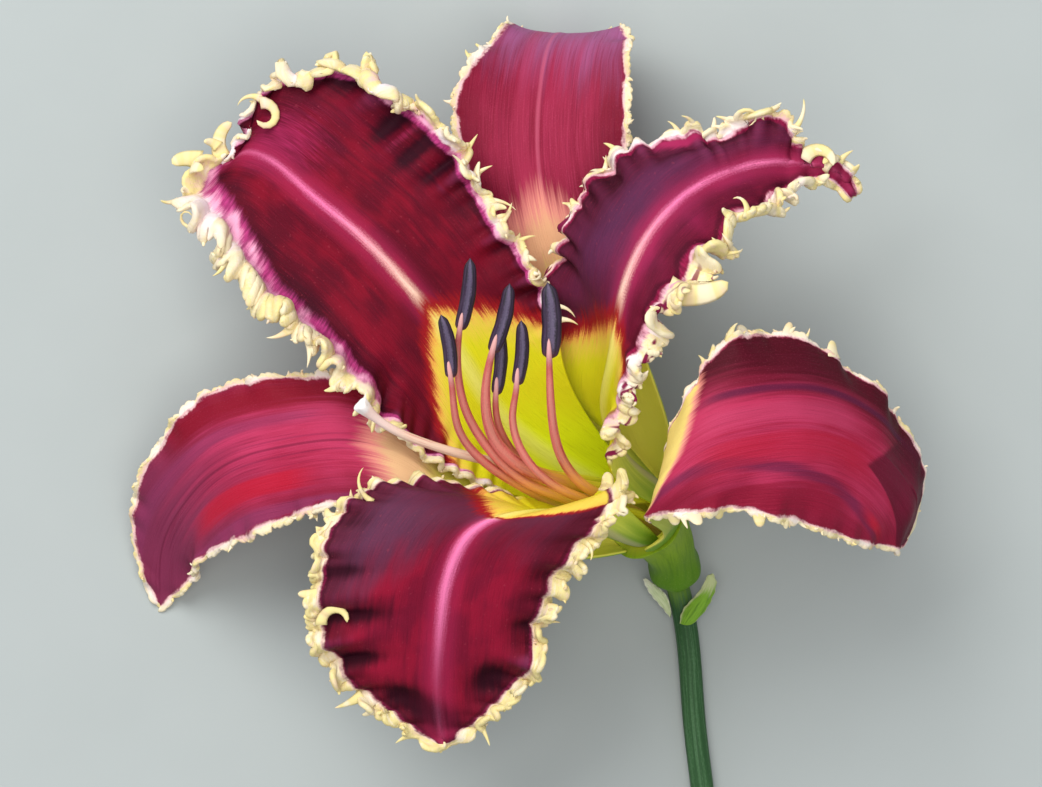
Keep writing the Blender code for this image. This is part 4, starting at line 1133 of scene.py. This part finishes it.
def ringed_block(rings, **marks):
    """A closed body through these rings, its points marked with how far up and round it they lie."""
    count, sides = rings.shape[:2]
    turns = turns_of(sides)
    marks = {"along": distances(rings.mean(axis=1)), **marks}
    values = {mark: np.repeat(value, sides) for mark, value in marks.items()}
    values["front"] = np.tile(np.cos(turns), count)
    values["side"] = np.tile(np.sin(turns), count)
    return rings.reshape(-1, 3), ring_faces(count, sides), values


places = np.linspace(0, 1, TUBE_RINGS)
ribbed = 1 + 0.022 * np.cos(6 * turns_of(TUBE_SIDES))
outer_way = spline(TUBE_WAY, spacing(TUBE_WAY), places)
outer = spline(TUBE_RADII, spacing(TUBE_WAY), places) * ribbed
well_way = spline(WELL_WAY, spacing(WELL_WAY), places)
well = spline(WELL_RADII, spacing(WELL_WAY), places) * np.ones(TUBE_SIDES)
outer_rings = swept_rings(outer_way, outer, outer)
well_rings = swept_rings(well_way, well, well)
rim = np.linspace(0, 1, RIM_RINGS + 2)[1:-1, None, None]
lifted = 0.18 * TUBE_AXIS * np.sin(math.pi * rim) ** 0.5
rim_rings = outer_rings[-1] * (1 - rim) + well_rings[-1] * rim + lifted
tube_rings = np.concatenate([outer_rings, rim_rings, well_rings[::-1]])
inside = np.concatenate([np.zeros(TUBE_RINGS), np.linspace(0, 1, RIM_RINGS), np.ones(TUBE_RINGS)])
heights = (tube_rings.mean(axis=1) - TUBE_FOOT) @ TUBE_AXIS
piece = joined_object("perianth_tube_ribbed", [ringed_block(tube_rings, height=heights, inner=inside)])

finish = Finish("tube_green", Specular_IOR_Level=0.15)
height, front, side, inner = finish.marks("height front side inner")
streaks = finish.cloud(front * 9, side * 9, height * 0.12, 3.0, 0.6)
grain = finish.cloud(front * 16, side * 16, height * 3, 2.0, 0.6)
green = finish.layered(
    (0.1, 0.23, 0.008),
    ((0.26, 0.4, 0.014), (height + (streaks - 0.5) * 12).between(4, 22)),
    ((0.07, 0.16, 0.008), streaks.until(0.35, 0.52) * 0.25),
    ((0.42, 0.48, 0.16), grain.between(0.56, 0.72) * 0.2),
    ((0.62, 0.6, 0.05), inner),
)
surface = finish.finish_with(green, 0.46 + grain * 0.1, streaks * 0.15 + grain * 0.2, 0.0001)
piece.data.materials.append(surface)
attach(piece, "root")
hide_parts("perianth_tube")

# The six stamens: rose filaments, flattened and thickest in their lower half, rise from the tube's wall
# through the throat. Each ends in a pale point that holds its anther by the lower front.
# Each row: turn round the tube, the filament's and the anther's width, the filament's way, and the
# anther's two ends.
STAMENS = (
    (
        275, 1.25, 0.9,
        ((14.5, -22, 38), (7.2, -18.6, 45), (0, -15.3, 50), (-6, -9.5, 54.5), (-9.8, -3, 58.5),
         (-11.2, 4, 62)),
        (-10.9, 11, 66), (-9, 24, 70),
    ),
    (
        215, 1.2, 0.85,
        ((12.5, -22.5, 33.5), (5.5, -19.5, 41), (-1, -16, 47.5), (-6.8, -12, 54), (-10.8, -7, 59)),
        (-12.4, 2.5, 66), (-14.2, 14, 69),
    ),
    (
        95, 1.7, 0.95,
        ((18, -17.5, 33), (9.5, -16.3, 43), (1.5, -13.8, 51.5), (-4.5, -8.5, 57), (-6.3, -1, 62)),
        (-5.2, 7, 67), (-2, 19.5, 70),
    ),
    (
        155, 1.15, 0.8,
        ((15.5, -16.5, 31), (8, -15, 39.5), (1, -12.8, 46.5), (-3, -8, 53)),
        (-4.5, -0.5, 60), (-3.8, 12, 61),
    ),
    (
        335, 1.2, 0.85,
        ((18.3, -20.9, 39), (10, -18.4, 49), (4, -15, 55.3), (0, -10, 59), (-1.5, -4, 62)),
        (-0.8, 1.3, 65), (0, 13, 68),
    ),
    (
        35, 1.3, 1.2,
        ((20.5, -19, 37), (12.5, -17.3, 48), (7.3, -11.5, 56), (5.6, -5, 62)),
        (5, 6, 68), (4.7, 19.7, 70),
    ),
)
FILAMENT_RADIUS, FILAMENT_RINGS, FILAMENT_SIDES = 0.7, 120, 20
ANTHER_RADIUS, ANTHER_RINGS, ANTHER_SIDES = 1.45, 76, 48
ANTHER_SWELL = ((0, 0.6), (0.06, 0.82), (0.22, 1), (0.5, 1.05), (0.75, 0.95), (0.9, 0.72), (1, 0.35))

finish = Finish("filament_rose", Specular_IOR_Level=0.25)
along, front, side, tip = finish.marks("along front side tip")
streaks = finish.cloud(front * 2.5, side * 2.5, along * 0.16, 2.0, 0.6)
grain = finish.cloud(front * 3, side * 3, along * 3, 2.0, 0.6)
rose = finish.layered(
    (0.68, 0.16, 0.13),
    ((0.44, 0.05, 0.045), (streaks + grain * 0.3).between(0.6, 0.78)),
    # painted highlight along the filament's upper face
    ((0.8, 0.36, 0.26), (front + (streaks - 0.5)).between(0.75, 1.1) * 0.5),
    ((0.85, 0.43, 0.06), (along + (streaks - 0.5) * 14).until(26, 45)),
    ((0.66, 0.62, 0.03), (along + (streaks - 0.5) * 10).until(18, 32)),
    ((0.5, 0.07, 0.07), (tip - (grain - 0.5) * 4).until(5, 9) * 0.6),
    ((0.78, 0.42, 0.38), (tip + (grain - 0.5) * 2).until(2, 6) * 0.85),
)
filament_finish = finish.finish_with(rose, 0.4 + grain * 0.1, streaks * 0.5 + grain * 0.3, 0.00012)

finish = Finish("anther_purple_black", Specular_IOR_Level=0.35)
along, front, side = finish.marks("along front side")
streaks = finish.cloud(front * 2, side * 2, along * 0.22, 3.0, 0.6)
grain = finish.cloud(front * 5, side * 5, along * 4, 3.0, 0.65)
purple = finish.layered(
    (0.006, 0.002, 0.008),
    ((0.034, 0.012, 0.038), (streaks + (grain - 0.5) * 0.5).between(0.42, 0.68)),
    # painted highlights: lighter streaks on the lobes' flanks and a lavender reflection along the top
    ((0.09, 0.05, 0.1), (abs(side) - abs(abs(front) - 0.75) * 1.5).between(0.4, 0.66) * 0.35),
    ((0.2, 0.15, 0.24), (front + (grain - 0.5) * 0.2).between(0.87, 1.0) * 0.5),
    ((0.2, 0.13, 0.04), (abs(front) + (grain - 0.5) * 0.1).until(0.03, 0.11)),
    ((0.12, 0.03, 0.03), (along + (grain - 0.5) * 2).until(0.4, 2.2) * 0.6),
)
anther_finish = finish.finish_with(purple, 0.34 + grain * 0.2, streaks * 0.4 + grain * 0.6, 0.0002)

for number, (degrees, breadth, fullness, way, near_end, far_end) in enumerate(STAMENS, 1):
    wall = outward(degrees)
    near_end, far_end = np.array(near_end, float), np.array(far_end, float)
    rising = unit(far_end - near_end)
    ahead = unit(np.array([0, 0, 1]) - rising[2] * rising)
    way = [
        TUBE_MOUTH - 2.6 * TUBE_AXIS + 3 * wall, TUBE_MOUTH + 0.5 * TUBE_AXIS + 3.7 * wall, *way,
        near_end - SEAT_GAP * rising + 0.2 * ahead, near_end + 1.6 * rising + 0.85 * fullness * ahead,
        near_end + 4 * rising + 1.05 * fullness * ahead,
    ]
    places = np.linspace(0, 1, FILAMENT_RINGS)
    centres = spline(way, spacing(way), places)
    left = distances(centres)[-1] - distances(centres)
    girth = np.interp(places, (0, 0.2, 0.45, 0.8, 1), (0.8, 0.95, 1.05, 0.95, 0.8))
    thick = FILAMENT_RADIUS * girth * (left / (left + 0.9))
    flatness = np.interp(places, (0, 0.15, 0.4, 0.65, 0.85, 1), (0.4, 0.9, 1.2, 1, 0.5, 0.2))
    wide = thick * (1 + (breadth - 1) * flatness)
    thick, wide = (size[:, None] * np.ones(FILAMENT_SIDES) for size in (thick, wide))
    block = ringed_block(swept_rings(centres, wide, thick), tip=left)
    filament = joined_object(f"filament_{number}_tapered", [block])
    filament.data.materials.append(filament_finish)

    places = (1 - np.cos(np.linspace(0, math.pi, ANTHER_RINGS))) / 2
    bend = 0.6 * unit(np.cross(rising, (0, 0, 1)))
    centres = near_end + places[:, None] * (far_end - near_end) + np.sin(math.pi * places)[:, None] * bend
    swell = spline(np.array(ANTHER_SWELL)[:, 1:], np.array(ANTHER_SWELL)[:, 0], places)[:, 0]
    rounding = np.sqrt(1.0002 - (1 - smooth_step(places / 0.1)) ** 2)
    rounding = rounding * np.sqrt(1.0002 - smooth_step((places - 0.86) / 0.14) ** 2)
    size = ANTHER_RADIUS * swell * rounding
    turns = turns_of(ANTHER_SIDES)
    parted = smooth_step(places / 0.08) * smooth_step((1 - places) / 0.12)
    split = 0.3 + 0.25 * smooth_step(1 - places / 0.2)
    groove = (split * parted)[:, None] * np.exp(-((np.minimum(turns, math.tau - turns) / 0.38) ** 2))
    groove = groove + 0.2 * parted[:, None] * np.exp(-(((turns - math.pi) / 0.4) ** 2))
    slit = 0.07 * parted[:, None] * np.exp(-((np.cos(turns) / 0.1) ** 2))
    uneven = 1 + 0.03 * np.sin(places * 19 + number)[:, None] * np.cos(turns * 2 + number)
    radii = size[:, None] * (1 - groove - slit) * uneven
    rings = swept_rings(centres, radii * fullness, radii * 0.85)
    anther = joined_object(f"anther_{number}_grooved", [ringed_block(rings)])
    anther.data.materials.append(anther_finish)
    pair = ((filament, f"filament_{number}", "filament"), (anther, f"anther_{number}", "anther"))
    for made, node, slot in pair:
        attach(made, "root")
        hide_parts(node)

# The pistil: a green ovary with three rounded lobes that fills the tube's well, a long pale style that
# leans out over the lower left of the throat, and a small whitish stigma with three lips.
PISTIL_WAY = (
    (28, -31.5, 8), (27.7, -30, 10.8), (26.4, -27.1, 15.4), (23.3, -23.2, 22.6), (15, -18.8, 31),
    (6, -15.5, 37.5), (-2, -13, 43.5), (-10, -11, 49.5), (-18, -8.5, 54), (-25, -5, 57.5), (-28.5, -2, 59.5),
)
PISTIL_RADII = (
    (0, 1.4), (0.03, 2.3), (0.09, 2.5), (0.13, 2.1), (0.165, 1.4), (0.2, 1.05), (0.5, 0.95), (0.93, 0.76),
    (0.965, 0.85), (0.985, 1.3), (1, 1.45),
)
PISTIL_RINGS, PISTIL_SIDES = 220, 36
places = np.linspace(0, 1, PISTIL_RINGS)
turns = turns_of(PISTIL_SIDES)
centres = spline(PISTIL_WAY, spacing(PISTIL_WAY), places)
radii = np.interp(places, *np.array(PISTIL_RADII).T)
radii = np.convolve(np.pad(radii, 4, "edge"), np.ones(9) / 9, "valid")
lobed = 0.07 * smooth_step((0.19 - places) / 0.05) + 0.16 * smooth_step((places - 0.975) / 0.02)
radii = radii[:, None] * (1 + lobed[:, None] * np.cos(3 * turns))
rings = swept_rings(centres, radii, radii)
rounded = centres[-1] + (rings[-1] - centres[-1]) * np.array([0.93, 0.8, 0.55, 0.15])[:, None, None]
rounded = rounded + (centres[-1] - centres[-2]) * np.array([0.5, 0.9, 0.8, 0.3])[:, None, None]
rings = np.concatenate([rings, rounded])
left = np.concatenate([distances(centres)[-1] - distances(centres), np.zeros(4)])
piece = joined_object("pistil_lobed", [ringed_block(rings, tip=left)])

finish = Finish("style_ivory_rose", Specular_IOR_Level=0.2)
along, front, side, tip = finish.marks("along front side tip")
streaks = finish.cloud(front * 2.2, side * 2.2, along * 0.14, 2.0, 0.6)
grain = finish.cloud(front * 4, side * 4, along * 4, 3.0, 0.7)
pale = finish.layered(
    (0.84, 0.58, 0.42),
    # rosy streaks are the style's own colour; keeping them off the upper face is a painted highlight that
    # leaves the top paler
    ((0.74, 0.34, 0.26), (streaks - front * 0.16).between(0.36, 0.6)),
    ((0.8, 0.55, 0.16), (along + (streaks - 0.5) * 16).until(22, 42)),
    ((0.36, 0.46, 0.06), (along + (streaks - 0.5) * 6).until(10, 18)),
    ((0.88, 0.66, 0.6), (tip + (grain - 0.5) * 4).until(4, 12) * 0.7),
    ((0.92, 0.84, 0.78), (tip + (grain - 0.5)).until(0.6, 1.9)),
)
surface = finish.finish_with(pale, 0.42 + grain * 0.12, streaks * 0.3 + grain * 0.5, 0.00012)
piece.data.materials.append(surface)
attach(piece, "root")
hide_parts("pistil")

# The stalk: a firm round scape, blue green with fine lengthwise flutes, cut straight across where it was
# picked. It lies on its underside, which is pressed a little flat.
STALK_WAY = (
    TUBE_FOOT - SEAT_GAP * TUBE_AXIS, (28.35, -34.2, 3.75), (28.7, -35.5, 2.75), (29.2, -37.5, 2.15),
    (29.9, -41, 1.96), (30.6, -46, 1.95), (31.7, -60, 1.95), (33, -71, 1.95), (35.5, -96, 1.95),
)
STALK_RADIUS, STALK_RINGS, STALK_SIDES = 2.08, 170, 64
places = np.linspace(0, 1, STALK_RINGS)
turns = turns_of(STALK_SIDES)
centres = spline(STALK_WAY, spacing(STALK_WAY), places)
flutes = 0.03 * np.cos(11 * turns) + 0.02 * np.cos(17 * turns + 1)
radii = (STALK_RADIUS + flutes) * np.ones((STALK_RINGS, 1))
rings = swept_rings(centres, radii, radii)
face = np.array([0.97, 0.9, 0.75, 0.55, 0.3, 0.05])[:, None, None]
cut_face = centres[-1] + (rings[-1] - centres[-1]) * face
rings = np.concatenate([rings, cut_face])
rings[..., 2] = np.maximum(rings[..., 2], 0)
core = np.concatenate([np.zeros(STALK_RINGS), 1.01 - face[:, 0, 0]])
stalk = joined_object("stalk_fluted", [ringed_block(rings, core=core)])

finish = Finish("stalk_green", Specular_IOR_Level=0.2)
along, front, side, core = finish.marks("along front side core")
streaks = finish.cloud(front * 5, side * 5, along * 0.05, 3.0, 0.6)
grain = finish.cloud(front * 7, side * 7, along * 2, 3.0, 0.65)
green = finish.layered(
    (0.028, 0.085, 0.026),
    ((0.055, 0.14, 0.05), (streaks + (grain - 0.5) * 0.3).between(0.4, 0.62)),
    ((0.09, 0.18, 0.09), (grain + (streaks - 0.5)).between(0.55, 0.75) * 0.35),
    ((0.13, 0.24, 0.03), (along + (streaks - 0.5) * 8).until(1, 7)),
)
inside = finish.layered(
    (0.2, 0.32, 0.09),
    ((0.5, 0.56, 0.3), core.between(0.1, 0.5)),
    ((0.3, 0.38, 0.14), finish.cloud(front * core * 14, side * core * 14).between(0.5, 0.62) * 0.6),
)
green = finish.layered(green, (inside, core.between(0.02, 0.1)))
surface = finish.finish_with(green, 0.45 + grain * 0.12, streaks * 0.6 + grain * 0.3, 0.00015)
stalk.data.materials.append(surface)
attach(stalk, "root")
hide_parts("stalk")

# The two bracts: thin boat-shaped scales that clasp the stalk's top, one green with a papery end and one
# pale. Each grows on the stalk by its narrow foot.
BRACTS = {
    "bract_green": (
        (29, -42, 4.6, 30.2, -42.2, 4.8, 31.4, -42, 4.6),
        (29.4, -40, 4.8, 31.6, -40.6, 5.6, 33.4, -39.8, 4.6),
        (31, -37.8, 5.6, 33.4, -37.8, 6.4, 35, -37, 5.4),
        (32.8, -35.6, 6.8, 34.6, -35.2, 7.2, 35.6, -34.4, 6.6), (34, -33.2, 8, 34.6, -33, 8, 35, -32.8, 8),
    ),
    "bract_pale": (
        (27.3, -41, 3.1, 27.4, -40.5, 3.3, 27.5, -40, 3.4),
        (25.5, -38.8, 3, 26.2, -38.2, 3.4, 26.8, -37.3, 3.5),
        (23.4, -36.3, 3.4, 24.3, -35.8, 3.8, 25, -35.4, 3.8),
        (22.3, -34, 4.2, 22.7, -33.8, 4.3, 23.1, -33.9, 4.3),
    ),
}
BRACT_COLOURS = {
    "bract_green": ((0.22, 0.42, 0.03), (0.13, 0.28, 0.02), (0.6, 0.62, 0.32), 6.5),
    "bract_pale": ((0.66, 0.72, 0.42), (0.46, 0.55, 0.24), (0.82, 0.8, 0.62), 5),
}
BRACT_RIBS, BRACT_COLUMNS = 90, 41
for name, rows in BRACTS.items():
    places = np.linspace(0, 1, BRACT_RIBS)
    across = np.tile(np.linspace(-1, 1, BRACT_COLUMNS), (BRACT_RIBS, 1))
    points = blade_points(rows, places, across)
    faces_up = upward(points)
    edge = np.abs(across) ** 3
    half = (0.3 - 0.2 * edge) * (1 - 0.6 * smooth_step((places - 0.8) / 0.2))[:, None]
    veins = 0.03 * np.cos(across * 26) * (1 - edge)
    frill = 0.12 * np.sin(places * 34)[:, None] * edge * across
    points = points + frill[..., None] * faces_up
    rise = distances(points[:, BRACT_COLUMNS // 2])[:, None] + 0 * across
    marks = {"along": rise, "across": across, "edge": np.abs(across)}
    inside = points + faces_up * (half + veins)[..., None]
    block = sheet_block(inside, points - faces_up * half[..., None], marks)
    bract = joined_object(f"{name}_veined", [block])
    leafy, dark, papery, length = BRACT_COLOURS[name]
    finish = Finish(f"{name}_scale", Specular_IOR_Level=0.2)
    along, across, edge = finish.marks("along across edge")
    streaks = finish.cloud(across * 7, along * 0.25, length, 3.0, 0.6)
    grain = finish.cloud(across * 8, along * 3, length, 2.0, 0.6)
    colour = finish.layered(
        leafy,
        (dark, streaks.between(0.46, 0.66)),
        (papery, (edge + (streaks - 0.5) * 0.4).between(0.72, 0.98)),
        (papery, (along + (streaks - 0.5) * 5).between(length, length + 3) * 0.85),
    )
    surface = finish.finish_with(colour, 0.5 + grain * 0.1, streaks * 0.7 + grain * 0.3, 0.0002)
    bract.data.materials.append(surface)
    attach(bract, "root")
    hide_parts(name)

# The stage: a plain pale floor that the bloom lies on, soft studio light, and the camera straight above it,
# as far off as the long lens that took the bloom.
bpy.ops.mesh.primitive_plane_add(size=6)
floor = bpy.context.object
floor.name = "floor"
paper = Finish("pale_paper", Roughness=0.9, Specular_IOR_Level=0.2)
spot = paper.node("ShaderNodeTexCoord", {}, {}).outputs["Object"]
grain = {"Vector": spot, "Scale": 40.0, "Detail": 2.0, "Roughness": 0.5}
mottle = paper.node("ShaderNodeTexNoise", {}, grain)
pale = paper.layered((0.4, 0.425, 0.4), ((0.43, 0.455, 0.43), mottle.outputs[0]))
floor.data.materials.append(paper.finish_with(pale))

world = bpy.data.worlds.new("studio")
bpy.context.scene.world = world
world.use_nodes = True
world.node_tree.nodes["Background"].inputs["Color"].default_value = (0.8, 0.87, 1, 1)
world.node_tree.nodes["Background"].inputs["Strength"].default_value = 0.5
for name, place, size, power, colour in (
    ("sky_top", (-0.4, 0.62, 0.95), 0.8, 13, (0.95, 0.97, 1)),
    ("front_fill", (0.1, -0.15, 1.5), 0.9, 9, (1, 0.98, 0.95)),
):
    light = bpy.data.lights.new(name, "AREA")
    light.size = size
    light.energy = power
    light.color = colour
    lamp = bpy.data.objects.new(name, light)
    lamp.location = place
    lamp.rotation_euler = (Vector((0, 0, 0.03)) - Vector(place)).to_track_quat("-Z", "Y").to_euler()
    bpy.context.scene.collection.objects.link(lamp)

PHOTO_WIDTH, PIXEL, FOCUS, CAMERA_HEIGHT, SENSOR = 1042, 0.00018, 2, 2.035, 36
camera = bpy.data.objects.new("camera", bpy.data.cameras.new("camera"))
bpy.context.scene.collection.objects.link(camera)
camera.location = (-0.0006, 0.0143, CAMERA_HEIGHT)
camera.data.sensor_width = SENSOR
camera.data.lens = SENSOR * FOCUS / (PHOTO_WIDTH * PIXEL)
camera.data.clip_end = 10
bpy.context.scene.camera = camera
bpy.context.scene.view_settings.view_transform = "Standard"
